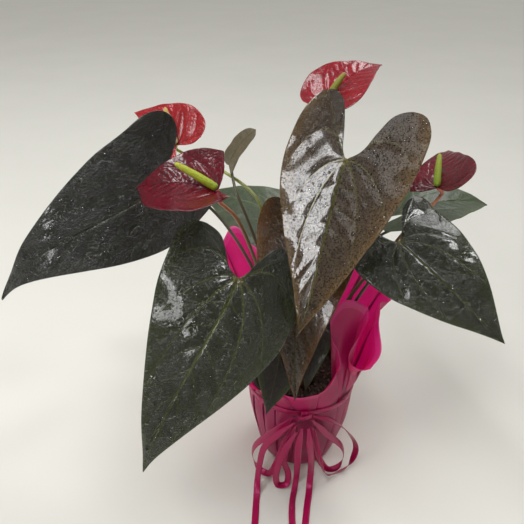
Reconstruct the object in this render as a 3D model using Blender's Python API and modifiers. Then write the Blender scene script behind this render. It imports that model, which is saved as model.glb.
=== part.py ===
"""Potted anthurium in a film-wrapped nursery pot, tied with a satin ribbon.

Metres, +Z up. The origin is the centre of the flat base that the pot stands on, and -Y is the front.
Every leaf and flower is placed by its own named sizes, measured from the top of the potting mix.
"""

import math

import bmesh
import bpy
import numpy as np
from mathutils import Vector

# Clearance kept between pieces that touch.
GAP = 0.0003

# Nursery pot.
POT_TOP_DIAMETER = 0.124
POT_BASE_DIAMETER = 0.092
POT_HEIGHT = 0.118
POT_WALL = 0.0016
POT_LIP_HEIGHT = 0.010
POT_LIP_WIDTH = 0.0016
DRAIN_HOLE_DIAMETER = 0.010
DRAIN_HOLE_COUNT = 6
DRAIN_RING_DIAMETER = 0.056
DRAIN_CUTTER_DEPTH = POT_WALL * 6
SOIL_BELOW_LIP = 0.012

# Film wrap. Its rim is given as height above the tie and reach beyond the tie.
WRAP_THICKNESS = 0.0010
WRAP_SLACK = 0.0012
TIE_DROP = 0.002
TIE_BAND_HEIGHT = 0.012
FLARE_CURVE = 0.85  # below 1, the film leans out sooner as it leaves the tie
BASE_INNER_SHARE = 0.5  # ring on the base that the flat middle closes, as a share of its radius
WRAP_RIM = (
    # azimuth in degrees, reach beyond the tie, height above the tie
    (270, 0.015, 0.031),
    (300, 0.010, 0.045),
    (322, 0.012, 0.110),
    (345, 0.026, 0.104),
    (10, 0.044, 0.100),
    (38, 0.070, 0.128),
    (68, 0.052, 0.092),
    (98, 0.046, 0.076),
    (127, 0.078, 0.148),
    (155, 0.050, 0.094),
    (185, 0.036, 0.068),
    (215, 0.024, 0.040),
    (244, 0.012, 0.030),
)

# Ribbon.
RIBBON_WIDTH = 0.008
RIBBON_THICKNESS = 0.0005
KNOT_SIZE = (0.013, 0.008, 0.009)
GRIP_WIDTH_SHARE = 0.30  # width of the ribbon where the knot holds it, as a share of its full width
GRIP_RUN_SHARE = 0.117  # length over which it widens, as a share of the ribbon's length
LYING_HEIGHT = 0.002  # below this the ribbon lies flat
STANDING_RISE = 0.020  # above the lying height by this much, its face looks outwards

# Plant.
CROWN_DIAMETER = 0.040
CROWN_HEIGHT = 0.012
CROWN_TOP_DIAMETER = 0.036
INNER_STEM_RING = 0.0062
OUTER_STEM_RING = 0.0138
LEAF_THICKNESS = 0.0008
SPATHE_THICKNESS = 0.0010
PETIOLE_DIAMETER = 0.0036
PEDUNCLE_DIAMETER = 0.0038
STEM_BASE_SWELL = 1.25
SPADIX_DIAMETER = 0.0085
STEM_FOOT_RISE = 0.012
ATTACH_RUN = 0.014
SPADIX_STANDOFF_SHARE = 0.35  # height of its foot's middle over the spathe, in spadix diameters
SPADIX_START_SHARE = 0.06  # start of the spadix, as a share of its run from the junction

# Mesh fineness.
LOBE_STATIONS = 5
BLADE_STATIONS = 11
BLADE_ROWS = 3
WRAP_SIDES = 60
WRAP_STATIONS = 8
STEM_POINTS = 13
RIBBON_POINTS = 30
MERGE_DISTANCE = 0.00002

# Colours: red, green, blue, then roughness and metallic.
LEAF_DARK = (0.030, 0.038, 0.022, 0.30, 0.0)
LEAF_BRONZE = (0.110, 0.060, 0.025, 0.30, 0.0)
LEAF_DULL = (0.080, 0.110, 0.065, 0.45, 0.0)
SPATHE_RED = (0.400, 0.010, 0.020, 0.30, 0.0)
SPATHE_WINE = (0.160, 0.006, 0.018, 0.30, 0.0)
SPADIX_YELLOW = (0.500, 0.560, 0.060, 0.60, 0.0)
STEM_GREEN = (0.230, 0.250, 0.060, 0.45, 0.0)
STEM_BROWN = (0.120, 0.060, 0.025, 0.45, 0.0)
FILM_MAGENTA = (0.480, 0.015, 0.120, 0.55, 0.0)
SATIN_MAGENTA = (0.450, 0.010, 0.080, 0.30, 0.0)
POT_PLASTIC = (0.040, 0.020, 0.015, 0.50, 0.0)
SOIL_BROWN = (0.035, 0.022, 0.014, 0.95, 0.0)

# Heights and radii that follow from the sizes above.
POT_FLOOR = WRAP_THICKNESS + GAP
POT_RIM = POT_FLOOR + POT_HEIGHT
SOIL_TOP = POT_RIM - SOIL_BELOW_LIP
TIE_HEIGHT = POT_RIM - TIE_DROP
TIE_RADIUS = POT_TOP_DIAMETER / 2 + WRAP_SLACK + WRAP_THICKNESS
BASE_RADIUS = POT_BASE_DIAMETER / 2 + WRAP_SLACK + WRAP_THICKNESS
CROWN_TOP = CROWN_HEIGHT + GAP
FRONT = 270

LEAVES = {
    # junction: where blade meets petiole, from the pot's axis and the top of the mix
    "leaf_left": dict(
        colour=LEAF_DARK, junction=(-0.155, 0.043, 0.244), heading=-156, pitch=-28, roll=63,
        length=0.210, half_width=(0.061, 0.068), lobe=(0.055, 0.050), splay=(0.12, 0.26),
        notch=(0.01, 0.02), taper=(0.15, -0.06), arch=0.16, fold=0.04, cup=-0.23, curl=-0.08,
        twist=51, bend=-0.02, lift=-0.13, base=(OUTER_STEM_RING, 172),
        via=((-0.059, 0.040, 0.138), (-0.111, 0.080, 0.199))),
    "leaf_front": dict(
        colour=LEAF_DARK, junction=(-0.071, -0.063, 0.193), heading=-124, pitch=-40, roll=35,
        length=0.194, half_width=(0.074, 0.071), lobe=(0.053, 0.035), splay=(0.03, 0.30),
        notch=(0.02, 0.04), taper=(0.10, 0.02), arch=0.12, fold=-0.03, cup=-0.43, curl=-0.05,
        twist=31, bend=-0.01, lift=0.28, base=(OUTER_STEM_RING, 224),
        via=((-0.052, -0.004, 0.080), (-0.067, -0.026, 0.150))),
    "leaf_tall": dict(
        colour=LEAF_BRONZE, junction=(0.038, 0.031, 0.277), heading=-109, pitch=-30, roll=-7,
        length=0.197, half_width=(0.076, 0.062), lobe=(0.054, 0.062), splay=(0.12, 0.05),
        notch=(0.05, 0.02), taper=(0.09, 0.02), arch=-0.08, fold=0.09, cup=0.27, curl=0.03,
        twist=27, bend=-0.03, lift=0.73, base=(INNER_STEM_RING, 20),
        via=((0.022, 0.018, 0.110), (0.038, 0.040, 0.210))),
    "leaf_right": dict(
        colour=LEAF_DARK, junction=(0.097, -0.003, 0.199), heading=-40, pitch=-29, roll=-28,
        length=0.144, half_width=(0.064, 0.058), lobe=(0.028, 0.036), splay=(0.47, 0.04),
        notch=(0.03, 0.02), taper=(0.26, 0.11), arch=0.05, fold=0.10, cup=-0.43, curl=-0.11,
        twist=9, bend=-0.01, lift=0.49, base=(OUTER_STEM_RING, 352),
        via=((0.044, -0.002, 0.090), (0.079, 0.003, 0.158))),
    "leaf_back_right": dict(
        colour=LEAF_DULL, junction=(0.133, 0.118, 0.170), heading=25, pitch=-7, roll=-7,
        length=0.148, half_width=(0.055, 0.057), lobe=(0.037, 0.046), splay=(0.0, -0.21),
        notch=(0.01, 0.01), taper=(0.04, 0.0), arch=0.10, fold=0.15, cup=-0.15, curl=-0.12,
        twist=30, bend=0.0, lift=-0.33, base=(OUTER_STEM_RING, 47),
        via=((0.040, 0.036, 0.100), (0.092, 0.080, 0.154))),
    "leaf_back": dict(
        colour=LEAF_DULL, junction=(-0.016, 0.169, 0.139), heading=156, pitch=4, roll=17,
        length=0.135, half_width=(0.064, 0.052), lobe=(0.034, 0.034), splay=(0.0, 0.0),
        notch=(0.01, 0.01), taper=(0.22, 0.07), arch=0.08, fold=0.02, cup=-0.41, curl=-0.10,
        twist=-9, bend=0.0, lift=0.0, base=(OUTER_STEM_RING, 97),
        via=((-0.008, 0.060, 0.072), (-0.013, 0.118, 0.100))),
    "leaf_middle": dict(
        colour=LEAF_BRONZE, junction=(-0.003, 0.021, 0.187), heading=-95, pitch=-53, roll=-25,
        length=0.174, half_width=(0.063, 0.057), lobe=(0.043, 0.050), splay=(0.0, 0.01),
        notch=(0.01, 0.01), taper=(0.0, 0.02), arch=0.06, fold=0.06, cup=-0.30, curl=0.05,
        twist=21, bend=0.02, lift=0.27, base=(INNER_STEM_RING, 200),
        via=((-0.009, 0.018, 0.080), (-0.005, 0.038, 0.145))),
    "leaf_low": dict(
        colour=LEAF_DARK, junction=(-0.027, -0.032, 0.097), heading=-108, pitch=-53, roll=9,
        length=0.089, half_width=(0.037, 0.035), lobe=(0.022, 0.022), splay=(0.0, 0.0),
        notch=(0.01, 0.01), taper=(0.09, 0.04), arch=0.06, fold=0.12, cup=0.04, curl=0.0,
        twist=-2, bend=0.03, lift=0.0, base=(OUTER_STEM_RING, 252),
        via=((-0.020, -0.021, 0.055),)),
    "leaf_small": dict(
        colour=LEAF_DARK, junction=(0.012, -0.010, 0.085), heading=-102, pitch=-39, roll=12,
        length=0.070, half_width=(0.024, 0.024), lobe=(0.019, 0.019), splay=(0.0, 0.0),
        notch=(0.01, 0.01), taper=(0.02, 0.01), arch=0.05, fold=0.10, cup=0.0, curl=0.0,
        twist=1, bend=0.0, lift=0.0, base=(INNER_STEM_RING, 290),
        via=((0.009, 0.000, 0.050),)),
    "leaf_young": dict(
        colour=LEAF_DULL, junction=(-0.087, 0.108, 0.240), heading=-22, pitch=54, roll=-59,
        length=0.059, half_width=(0.011, 0.009), lobe=(0.003, 0.003), splay=(0.0, 0.0),
        notch=(0.01, 0.01), taper=(0.09, 0.04), arch=0.06, fold=0.14, cup=0.03, curl=-0.01,
        twist=7, bend=0.04, lift=0.0, base=(OUTER_STEM_RING, 147),
        via=((-0.048, 0.058, 0.140), (-0.065, 0.076, 0.183), (-0.079, 0.094, 0.212)), lean=55),
}

FLOWERS = {
    "flower_back_left": dict(
        colour=SPATHE_RED, junction=(-0.156, 0.153, 0.249), heading=136, pitch=15, roll=31,
        length=0.088, half_width=(0.039, 0.049), lobe=(0.022, 0.020), splay=(0.0, 0.25),
        notch=(0.01, 0.02), taper=(-0.12, 0.03), arch=0.07, fold=0.18, cup=0.06, curl=-0.03,
        twist=-4, bend=-0.08, lift=0.16, base=(OUTER_STEM_RING, 122),
        via=((-0.050, 0.089, 0.196), (-0.089, 0.120, 0.223)), spadix=(-0.012, 0.015, 0.043)),
    "flower_left": dict(
        colour=SPATHE_WINE, junction=(-0.091, -0.018, 0.266), heading=157, pitch=-9, roll=31,
        length=0.095, half_width=(0.057, 0.034), lobe=(0.028, 0.009), splay=(0.05, -0.10),
        notch=(0.01, 0.01), taper=(0.18, 0.06), arch=0.13, fold=0.42, cup=0.41, curl=-0.02,
        twist=-18, bend=0.01, lift=1.2, base=(OUTER_STEM_RING, 198),
        via=((-0.042, 0.020, 0.110), (-0.058, 0.026, 0.165), (-0.075, 0.011, 0.220)),
        spadix=(-0.039, 0.002, 0.026)),
    "flower_top": dict(
        colour=SPATHE_RED, junction=(0.029, 0.113, 0.321), heading=36, pitch=16, roll=-5,
        length=0.081, half_width=(0.038, 0.044), lobe=(0.025, 0.023), splay=(-0.09, -0.03),
        notch=(0.01, 0.01), taper=(0.14, 0.06), arch=0.11, fold=0.21, cup=0.07, curl=0.12,
        twist=5, bend=0.0, lift=-0.04, base=(INNER_STEM_RING, 110),
        via=((0.006, 0.052, 0.140), (0.020, 0.095, 0.260)), spadix=(0.014, 0.000, 0.024)),
    "flower_right": dict(
        colour=SPATHE_WINE, junction=(0.151, 0.067, 0.230), heading=67, pitch=11, roll=21,
        length=0.082, half_width=(0.031, 0.046), lobe=(0.003, 0.015), splay=(0.0, -0.02),
        notch=(0.01, 0.02), taper=(0.04, 0.0), arch=0.10, fold=0.16, cup=0.05, curl=-0.18,
        twist=14, bend=0.01, lift=-0.09, base=(OUTER_STEM_RING, 22),
        via=((0.055, 0.028, 0.100), (0.107, 0.052, 0.163), (0.119, 0.055, 0.180)),
        spadix=(0.004, 0.024, 0.031)),
}

# Ribbon routes. Each point: place, then the turn of the ribbon's face about its run, in degrees.
RIBBON_ROUTES = {
    "ribbon_loop_right_inner": (
        ((0.0085, -0.0745, 0.114), 0), ((0.028, -0.067, 0.082), 20), ((0.050, -0.055, 0.045), 30),
        ((0.055, -0.052, 0.022), 30), ((0.048, -0.060, 0.012), 20), ((0.034, -0.068, 0.018), 10),
        ((0.022, -0.073, 0.042), 10), ((0.014, -0.077, 0.080), 10), ((0.0080, -0.0780, 0.107), 10)),
    "ribbon_loop_right_outer": (
        ((0.0095, -0.0740, 0.1200), 60), ((0.036, -0.062, 0.098), 75), ((0.060, -0.050, 0.060), 85),
        ((0.071, -0.046, 0.028), 85), ((0.062, -0.056, 0.009), 85), ((0.045, -0.066, 0.0075), 85),
        ((0.030, -0.076, 0.020), 80), ((0.022, -0.082, 0.050), 70), ((0.0115, -0.0820, 0.1060), 50)),
    "ribbon_loop_left_outer": (
        ((-0.0120, -0.0735, 0.1170), -10), ((-0.036, -0.067, 0.083), -20),
        ((-0.056, -0.056, 0.048), -30), ((-0.060, -0.054, 0.026), -30),
        ((-0.052, -0.062, 0.011), -20), ((-0.040, -0.070, 0.012), -10),
        ((-0.032, -0.074, 0.032), 0), ((-0.022, -0.0765, 0.074), 0), ((-0.0125, -0.0775, 0.1080), 0)),
    "ribbon_loop_left_inner": (
        ((-0.0100, -0.0815, 0.1130), 20), ((-0.018, -0.081, 0.084), 20),
        ((-0.022, -0.080, 0.050), 10), ((-0.016, -0.078, 0.022), 0), ((-0.018, -0.081, 0.0065), 0),
        ((-0.028, -0.083, 0.0075), -10), ((-0.031, -0.084, 0.030), -20),
        ((-0.022, -0.086, 0.075), -10), ((-0.0090, -0.0860, 0.1080), 0)),
    "ribbon_tail_left": (
        ((-0.0120, -0.0820, 0.1180), 0), ((-0.030, -0.080, 0.096), 0), ((-0.045, -0.075, 0.068), 0),
        ((-0.051, -0.074, 0.035), 0), ((-0.0535, -0.0790, 0.0120), 0),
        ((-0.0545, -0.0930, 0.0012), 0), ((-0.0555, -0.113, 0.0008), 0),
        ((-0.0560, -0.140, 0.0008), 0), ((-0.050, -0.165, 0.0008), 0)),
    "ribbon_tail_middle": (
        ((-0.0030, -0.0845, 0.1120), 0), ((-0.0060, -0.086, 0.085), 0), ((-0.0060, -0.083, 0.050), 10),
        ((-0.0060, -0.080, 0.020), 25), ((-0.0085, -0.0880, 0.0046), 30),
        ((-0.0110, -0.0990, 0.0028), 30), ((-0.0125, -0.113, 0.0016), 10),
        ((-0.0130, -0.140, 0.0008), 0), ((-0.014, -0.160, 0.0008), 0)),
    "ribbon_tail_right": (
        ((0.0040, -0.0845, 0.1120), 0), ((0.0070, -0.086, 0.085), 0), ((0.0105, -0.080, 0.050), 0),
        ((0.0120, -0.074, 0.020), 0), ((0.0110, -0.0790, 0.0058), 0), ((0.0090, -0.0920, 0.0010), 0),
        ((0.0050, -0.113, 0.0008), 0), ((0.0020, -0.140, 0.0008), 0), ((0.008, -0.168, 0.0008), 0)),
}


def clear_scene():
    for item in list(bpy.data.objects):
        bpy.data.objects.remove(item, do_unlink=True)


def make_collection(name):
    collection = bpy.data.collections.new(name)
    bpy.context.scene.collection.children.link(collection)
    return collection


def make_material(name, colour):
    material = bpy.data.materials.new(name)
    material.use_nodes = True
    shader = material.node_tree.nodes["Principled BSDF"]
    shader.inputs["Base Color"].default_value = (*colour[:3], 1.0)
    shader.inputs["Roughness"].default_value = colour[3]
    shader.inputs["Metallic"].default_value = colour[4]
    return material


def add_part(name, mesh, colour):
    part = bpy.data.objects.new(name, mesh)
    mesh.materials.clear()
    mesh.materials.append(make_material(name, colour))
    PARTS.objects.link(part)
    mesh.shade_smooth()
    return part


def solidify(part, thickness, offset):
    shell = part.modifiers.new("Wall", "SOLIDIFY")
    shell.thickness = thickness
    shell.offset = offset
    return shell


def on_curve(points, place):
    """A point of the smooth (Catmull-Rom) curve through points; place counts in points."""
    points = np.asarray(points, float)
    last = len(points) - 1
    first = int(min(max(math.floor(place), 0), last - 1))
    share = place - first
    start, end = points[first], points[first + 1]
    before = points[first - 1] if first > 0 else 2 * start - end
    after = points[first + 2] if first + 2 <= last else 2 * end - start
    return 0.5 * (2 * start + (end - before) * share
                  + (2 * before - 5 * start + 4 * end - after) * share ** 2
                  + (3 * start - before - 3 * end + after) * share ** 3)


def on_route(points, place):
    """A point of a smooth curve through unevenly spaced points, without swinging past them."""
    points = np.asarray(points, float)
    last = len(points) - 1
    first = int(min(max(math.floor(place), 0), last - 1))
    share = place - first
    spans = np.linalg.norm(np.diff(points, axis=0), axis=1)

    def slope(index):
        low, high = max(index - 1, 0), min(index + 1, last)
        return (points[high] - points[low]) / spans[low:high].sum()

    rise, span = slope(first) * spans[first], slope(first + 1) * spans[first]
    square, cube = share ** 2, share ** 3
    return (points[first] * (2 * cube - 3 * square + 1) + rise * (cube - 2 * square + share)
            + points[first + 1] * (3 * square - 2 * cube) + span * (cube - square))


def polar(radius, degrees, height):
    turn = math.radians(degrees)
    return np.array((radius * math.cos(turn), radius * math.sin(turn), height))


# Blades: heart-shaped leaves and spathes --------------------------------------------------------

REAR, SHOULDER, TIP = 4, 6.6, 13  # places on the half outline
WIDEST = 0.37  # half-width of the pattern outline, as a share of its length


def half_outline(blade, side):
    """Edge of one half, junction to tip, in blade lengths: along the midrib, then across it."""
    lobe = blade["lobe"][side] / blade["length"]
    widen = blade["half_width"][side] / blade["length"] / WIDEST
    notch = blade["notch"][side] / widen
    pattern = (
        (0.0, 0.0), (-0.18 * lobe, 0.012 + notch), (-0.56 * lobe, 0.055 + 0.7 * notch),
        (-0.90 * lobe, 0.125), (-lobe, 0.205), (-0.88 * lobe, 0.285), (-0.52 * lobe, 0.345),
        (0.0, WIDEST), (0.18, 0.345), (0.38, 0.272), (0.58, 0.185), (0.78, 0.095),
        (0.92, 0.032), (1.0, 0.0))
    outline = []
    for along, across in pattern:
        across = across * widen + blade["splay"][side] * max(-along, 0.0)
        if along > 0:
            across *= 1 + blade["taper"][side] * 6.75 * along * along * (1 - along)
        outline.append((along, across))
    return outline


def across_half(blade, side, station, row):
    """A place on one half of the flat blade: station runs lobe to tip, row inner edge to margin."""
    outline = half_outline(blade, side)
    if station < LOBE_STATIONS:
        share = station / LOBE_STATIONS
        outer = on_curve(outline, REAR + (SHOULDER - REAR) * share)
        inner = on_curve(outline, REAR * (1 - share))
    else:
        share = (station - LOBE_STATIONS) / BLADE_STATIONS
        outer = on_curve(outline, SHOULDER + (TIP - SHOULDER) * share)
        inner = np.array((share ** 1.2, 0.0))
    place = inner + (outer - inner) * row / BLADE_ROWS
    return place[0], place[1] * (1 if side == 0 else -1)


def raise_blade(blade, along, across):
    """Bends the flat blade: arch along, fold and cup across, twist and sideways bend."""
    inside = max(along, 0.0)
    height = blade["arch"] * 4 * (inside - inside * inside)
    if along < 0:
        height += blade["arch"] * 4 * along / (1 - 3 * along) + blade["lift"] * along * along
    height += blade["fold"] * (math.sqrt(across * across + 0.0009) - 0.03)
    height += blade["cup"] * across * across + blade["curl"] * across * abs(across)
    across += blade["bend"] * 4 * (along if along < 0 else inside - inside * inside)
    turn = math.radians(blade["twist"]) * (along - 0.3)
    return np.array((
        along,
        across * math.cos(turn) - height * math.sin(turn),
        across * math.sin(turn) + height * math.cos(turn)))


def blade_axes(blade):
    """Directions along the midrib, to the left and up, for a blade's heading, pitch and roll."""
    heading, pitch = math.radians(blade["heading"]), math.radians(blade["pitch"])
    along = Vector((math.cos(heading) * math.cos(pitch), math.sin(heading) * math.cos(pitch),
                    math.sin(pitch)))
    level_up = (Vector((0, 0, 1)) - along * along.z).normalized()
    level_left = level_up.cross(along)
    roll = math.radians(blade["roll"])
    left = level_left * math.cos(roll) - level_up * math.sin(roll)
    up = level_up * math.cos(roll) + level_left * math.sin(roll)
    return np.array((along, left, up))


def junction_place(blade):
    return np.array(blade["junction"]) + (0, 0, SOIL_TOP)


def blade_place(blade, along, across):
    return junction_place(blade) + blade["length"] * raise_blade(blade, along, across) @ blade_axes(blade)


def junction_normal(blade):
    """Unit normal of the blade's upper face where the stem meets it."""
    step = 0.01
    along = blade_place(blade, step, 0) - blade_place(blade, -step, 0)
    across = blade_place(blade, 0, step) - blade_place(blade, 0, -step)
    normal = np.cross(along, across)
    return normal / np.linalg.norm(normal)


def make_blade(name, blade, thickness):
    """Both halves are grids laid on the outline, joined along the midrib and given a thickness."""
    stations = LOBE_STATIONS + BLADE_STATIONS
    shape = bmesh.new()
    for side in (0, 1):
        half = bmesh.new()
        bmesh.ops.create_grid(half, x_segments=stations, y_segments=BLADE_ROWS, size=0.5)
        for corner in half.verts:
            station = round((corner.co.x + 0.5) * stations)
            row = round((corner.co.y + 0.5) * BLADE_ROWS)
            corner.co = blade_place(blade, *across_half(blade, side, station, row))
        if side == 1:
            bmesh.ops.reverse_faces(half, faces=half.faces)
        piece = bpy.data.meshes.new("half")
        half.to_mesh(piece)
        half.free()
        shape.from_mesh(piece)
        bpy.data.meshes.remove(piece)
    bmesh.ops.remove_doubles(shape, verts=shape.verts, dist=MERGE_DISTANCE)
    bmesh.ops.dissolve_degenerate(shape, edges=shape.edges, dist=MERGE_DISTANCE / 2)
    mesh = bpy.data.meshes.new(name)
    shape.to_mesh(mesh)
    shape.free()
    part = add_part(name, mesh, blade["colour"])
    solidify(part, thickness, 0)
    return part


# Stems and spadices ------------------------------------------------------------------------------


def make_rod(name, points, radii, depth, sides, colour):
    """A tube along points, with its own radius share at each, closed by flat caps."""
    curve = bpy.data.curves.new(name, "CURVE")
    curve.dimensions = "3D"
    curve.bevel_depth = depth
    curve.bevel_resolution = sides
    curve.use_fill_caps = True
    line = curve.splines.new("POLY")
    line.points.add(len(points) - 1)
    for spot, place, radius in zip(line.points, points, radii):
        spot.co = (*place, 1.0)
        spot.radius = radius
    rod = bpy.data.objects.new(name, curve)
    curve.materials.append(make_material(name, colour))
    PARTS.objects.link(rod)
    return rod


def make_stem(name, blade, diameter, thickness, colour):
    """From the crown up to the under side of the blade, ending square to it."""
    normal = junction_normal(blade)
    lean = math.radians(blade.get("lean", 0))
    arrival = normal * math.cos(lean) + blade_axes(blade)[0] * math.sin(lean)
    foot = polar(*blade["base"], SOIL_TOP + CROWN_TOP + GAP)
    clear = thickness / 2 + GAP + diameter / 2 * math.sin(lean)
    end = junction_place(blade) - normal * clear
    route = [foot, foot + (0, 0, STEM_FOOT_RISE)]
    route += [np.array(place) + (0, 0, SOIL_TOP) for place in blade["via"]]
    route += [end - arrival * ATTACH_RUN, end]
    last = len(route) - 1
    places = [0.0, 0.5] + list(np.linspace(1, last - 1, STEM_POINTS - 3)) + [last]
    points = [on_route(route, place) for place in places]
    radii = [1 + (STEM_BASE_SWELL - 1) * (1 - place / last) ** 2 for place in places]
    return make_rod(name, points, radii, diameter / 2, 2, colour)


def make_spadix(name, blade):
    """A finger that tapers to a round tip, standing on the spathe's upper face."""
    normal = junction_normal(blade)
    run = np.array(blade["spadix"])
    start = junction_place(blade) + normal * (SPATHE_THICKNESS / 2 + SPADIX_DIAMETER * SPADIX_STANDOFF_SHARE)
    start = start + run * SPADIX_START_SHARE
    end = junction_place(blade) + run
    profile = ((0.0, 0.50), (0.06, 0.85), (0.20, 1.0), (0.55, 0.92), (0.80, 0.78), (0.93, 0.56),
               (0.985, 0.30), (1.0, 0.10))
    points = [start + (end - start) * share for share, _ in profile]
    radii = [radius for _, radius in profile]
    return make_rod(name, points, radii, SPADIX_DIAMETER / 2, 3, SPADIX_YELLOW)


# Pot, mix and crown ------------------------------------------------------------------------------


def turned(name, profile, steps, colour):
    """A solid turned from a closed outline of radius and height, down its outer side."""
    mesh = bpy.data.meshes.new(name)
    corners = [(radius, 0, height) for radius, height in profile]
    edges = [(index, index + 1) for index in range(len(corners) - 1)]
    mesh.from_pydata(corners, edges, [])
    part = add_part(name, mesh, colour)
    screw = part.modifiers.new("Turn", "SCREW")
    screw.steps = steps
    screw.render_steps = steps
    screw.use_merge_vertices = True
    screw.merge_threshold = 0.0001
    return part


def pot_radius(height):
    """Outside radius of the pot's wall at a height above the pot's own foot."""
    wall_top = POT_TOP_DIAMETER / 2 - POT_LIP_WIDTH
    return POT_BASE_DIAMETER / 2 + (wall_top - POT_BASE_DIAMETER / 2) * height / POT_HEIGHT


def make_pot():
    lip = POT_HEIGHT - POT_LIP_HEIGHT
    outside = [
        (POT_TOP_DIAMETER / 2, POT_HEIGHT), (POT_TOP_DIAMETER / 2, lip), (pot_radius(lip), lip),
        (pot_radius(0), 0), (0, 0)]
    inside = [
        (0, POT_WALL), (pot_radius(POT_WALL) - POT_WALL, POT_WALL),
        (pot_radius(POT_HEIGHT) - POT_WALL, POT_HEIGHT), (POT_TOP_DIAMETER / 2, POT_HEIGHT)]
    profile = [(radius, POT_FLOOR + height) for radius, height in outside + inside]
    pot = turned("nursery_pot", profile, 36, POT_PLASTIC)
    cut = bmesh.new()
    for index in range(DRAIN_HOLE_COUNT):
        hole = bmesh.ops.create_cone(
            cut, cap_ends=True, segments=12, radius1=DRAIN_HOLE_DIAMETER / 2,
            radius2=DRAIN_HOLE_DIAMETER / 2, depth=DRAIN_CUTTER_DEPTH)
        middle = polar(DRAIN_RING_DIAMETER / 2, 360 * index / DRAIN_HOLE_COUNT, POT_FLOOR)
        bmesh.ops.translate(cut, verts=hole["verts"], vec=middle)
    mesh = bpy.data.meshes.new("drain_cutter")
    cut.to_mesh(mesh)
    cut.free()
    cutter = bpy.data.objects.new("drain_cutter", mesh)
    cutter.hide_render = True
    cutter.display_type = "WIRE"
    CUTTERS.objects.link(cutter)
    drill = pot.modifiers.new("Drain holes", "BOOLEAN")
    drill.operation = "DIFFERENCE"
    drill.solver = "EXACT"
    drill.object = cutter


def make_soil():
    bottom = POT_WALL + GAP
    top = SOIL_TOP - POT_FLOOR
    profile = [
        (0, top), (pot_radius(top) - POT_WALL - GAP, top),
        (pot_radius(bottom) - POT_WALL - GAP, bottom), (0, bottom)]
    turned("potting_mix", [(r, POT_FLOOR + z) for r, z in profile], 36, SOIL_BROWN)


def make_crown():
    foot, top = SOIL_TOP + GAP, SOIL_TOP + CROWN_TOP
    profile = [
        (0, top), (CROWN_TOP_DIAMETER / 2, top), (CROWN_DIAMETER / 2, (foot + top) / 2),
        (CROWN_TOP_DIAMETER / 2, foot), (0, foot)]
    turned("crown", profile, 24, STEM_BROWN)


# Wrap and ribbon ---------------------------------------------------------------------------------


def rim_at(degrees):
    """Reach and height of the wrap's rim, beyond and above the tie, at an azimuth."""
    count = len(WRAP_RIM)
    angles = [(row[0] - FRONT) % 360 for row in WRAP_RIM]
    wanted = (degrees - FRONT) % 360
    index = max(i for i in range(count) if angles[i] <= wanted)
    following = angles[index + 1] if index + 1 < count else 360
    share = (wanted - angles[index]) / (following - angles[index])
    nearby = [WRAP_RIM[(index + step) % count][1:] for step in (-1, 0, 1, 2)]
    return on_curve(nearby, 1 + share)


def wrap_place(degrees, station):
    """Stations: 0 middle of the base, 1 its edge, 2 and 3 the tie's edges, then up to the rim."""
    if station == 0:
        return polar(BASE_RADIUS * BASE_INNER_SHARE, degrees, 0)
    if station == 1:
        return polar(BASE_RADIUS, degrees, 0)
    if station == 2:
        return polar(TIE_RADIUS, degrees, TIE_HEIGHT - TIE_BAND_HEIGHT / 2)
    if station == 3:
        return polar(TIE_RADIUS, degrees, TIE_HEIGHT + TIE_BAND_HEIGHT / 2)
    share = (station - 3) / (WRAP_STATIONS - 4)
    reach, height = rim_at(degrees)
    low = TIE_BAND_HEIGHT / 2
    return polar(TIE_RADIUS + reach * share ** FLARE_CURVE, degrees,
                 TIE_HEIGHT + low + (height - low) * share)


def make_wrap():
    """One open sheet, from the middle of the base up to its rim, thickened inwards."""
    sheet = bmesh.new()
    rings = []
    for station in range(WRAP_STATIONS):
        rings.append([sheet.verts.new(wrap_place(360 * side / WRAP_SIDES, station))
                      for side in range(WRAP_SIDES)])
    for lower, upper in zip(rings, rings[1:]):
        for side in range(WRAP_SIDES):
            after = (side + 1) % WRAP_SIDES
            sheet.faces.new((lower[side], lower[after], upper[after], upper[side]))
    sheet.faces.new(list(reversed(rings[0])))
    mesh = bpy.data.meshes.new("gift_wrap")
    sheet.to_mesh(mesh)
    sheet.free()
    part = add_part("gift_wrap", mesh, FILM_MAGENTA)
    solidify(part, WRAP_THICKNESS, -1)


def make_band():
    inner = TIE_RADIUS + GAP
    outer = inner + RIBBON_THICKNESS
    low, high = TIE_HEIGHT - RIBBON_WIDTH / 2, TIE_HEIGHT + RIBBON_WIDTH / 2
    profile = [(outer, high), (outer, low), (inner, low), (inner, high), (outer, high)]
    turned("ribbon_band", profile, 48, SATIN_MAGENTA)


def make_knot():
    knot = bmesh.new()
    bmesh.ops.create_icosphere(knot, subdivisions=2, radius=0.5)
    bmesh.ops.scale(knot, verts=knot.verts, vec=KNOT_SIZE)
    front = TIE_RADIUS + GAP * 2 + RIBBON_THICKNESS + KNOT_SIZE[1] / 2
    bmesh.ops.translate(knot, verts=knot.verts, vec=(0, -front, TIE_HEIGHT))
    mesh = bpy.data.meshes.new("ribbon_knot")
    knot.to_mesh(mesh)
    knot.free()
    add_part("ribbon_knot", mesh, SATIN_MAGENTA)


def ribbon_frame(route, place):
    """Middle of the ribbon and the direction across its width at a place along its route."""
    spots = [spot for spot, _ in route]
    middle = on_route(spots, place)
    step = 0.02
    ahead = on_route(spots, min(place + step, len(route) - 1))
    behind = on_route(spots, max(place - step, 0))
    run = Vector(ahead - behind).normalized()
    upright = min(max((middle[2] - LYING_HEIGHT) / STANDING_RISE, 0.0), 1.0)
    facing = Vector((middle[0], middle[1], 0)).normalized() * upright + Vector((0, 0, 1 - upright))
    across = run.cross(facing).normalized()
    turn = math.radians(float(on_curve([(angle, 0) for _, angle in route], place)[0]))
    normal = across.cross(run)
    return middle, across * math.cos(turn) + normal * math.sin(turn)


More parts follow.
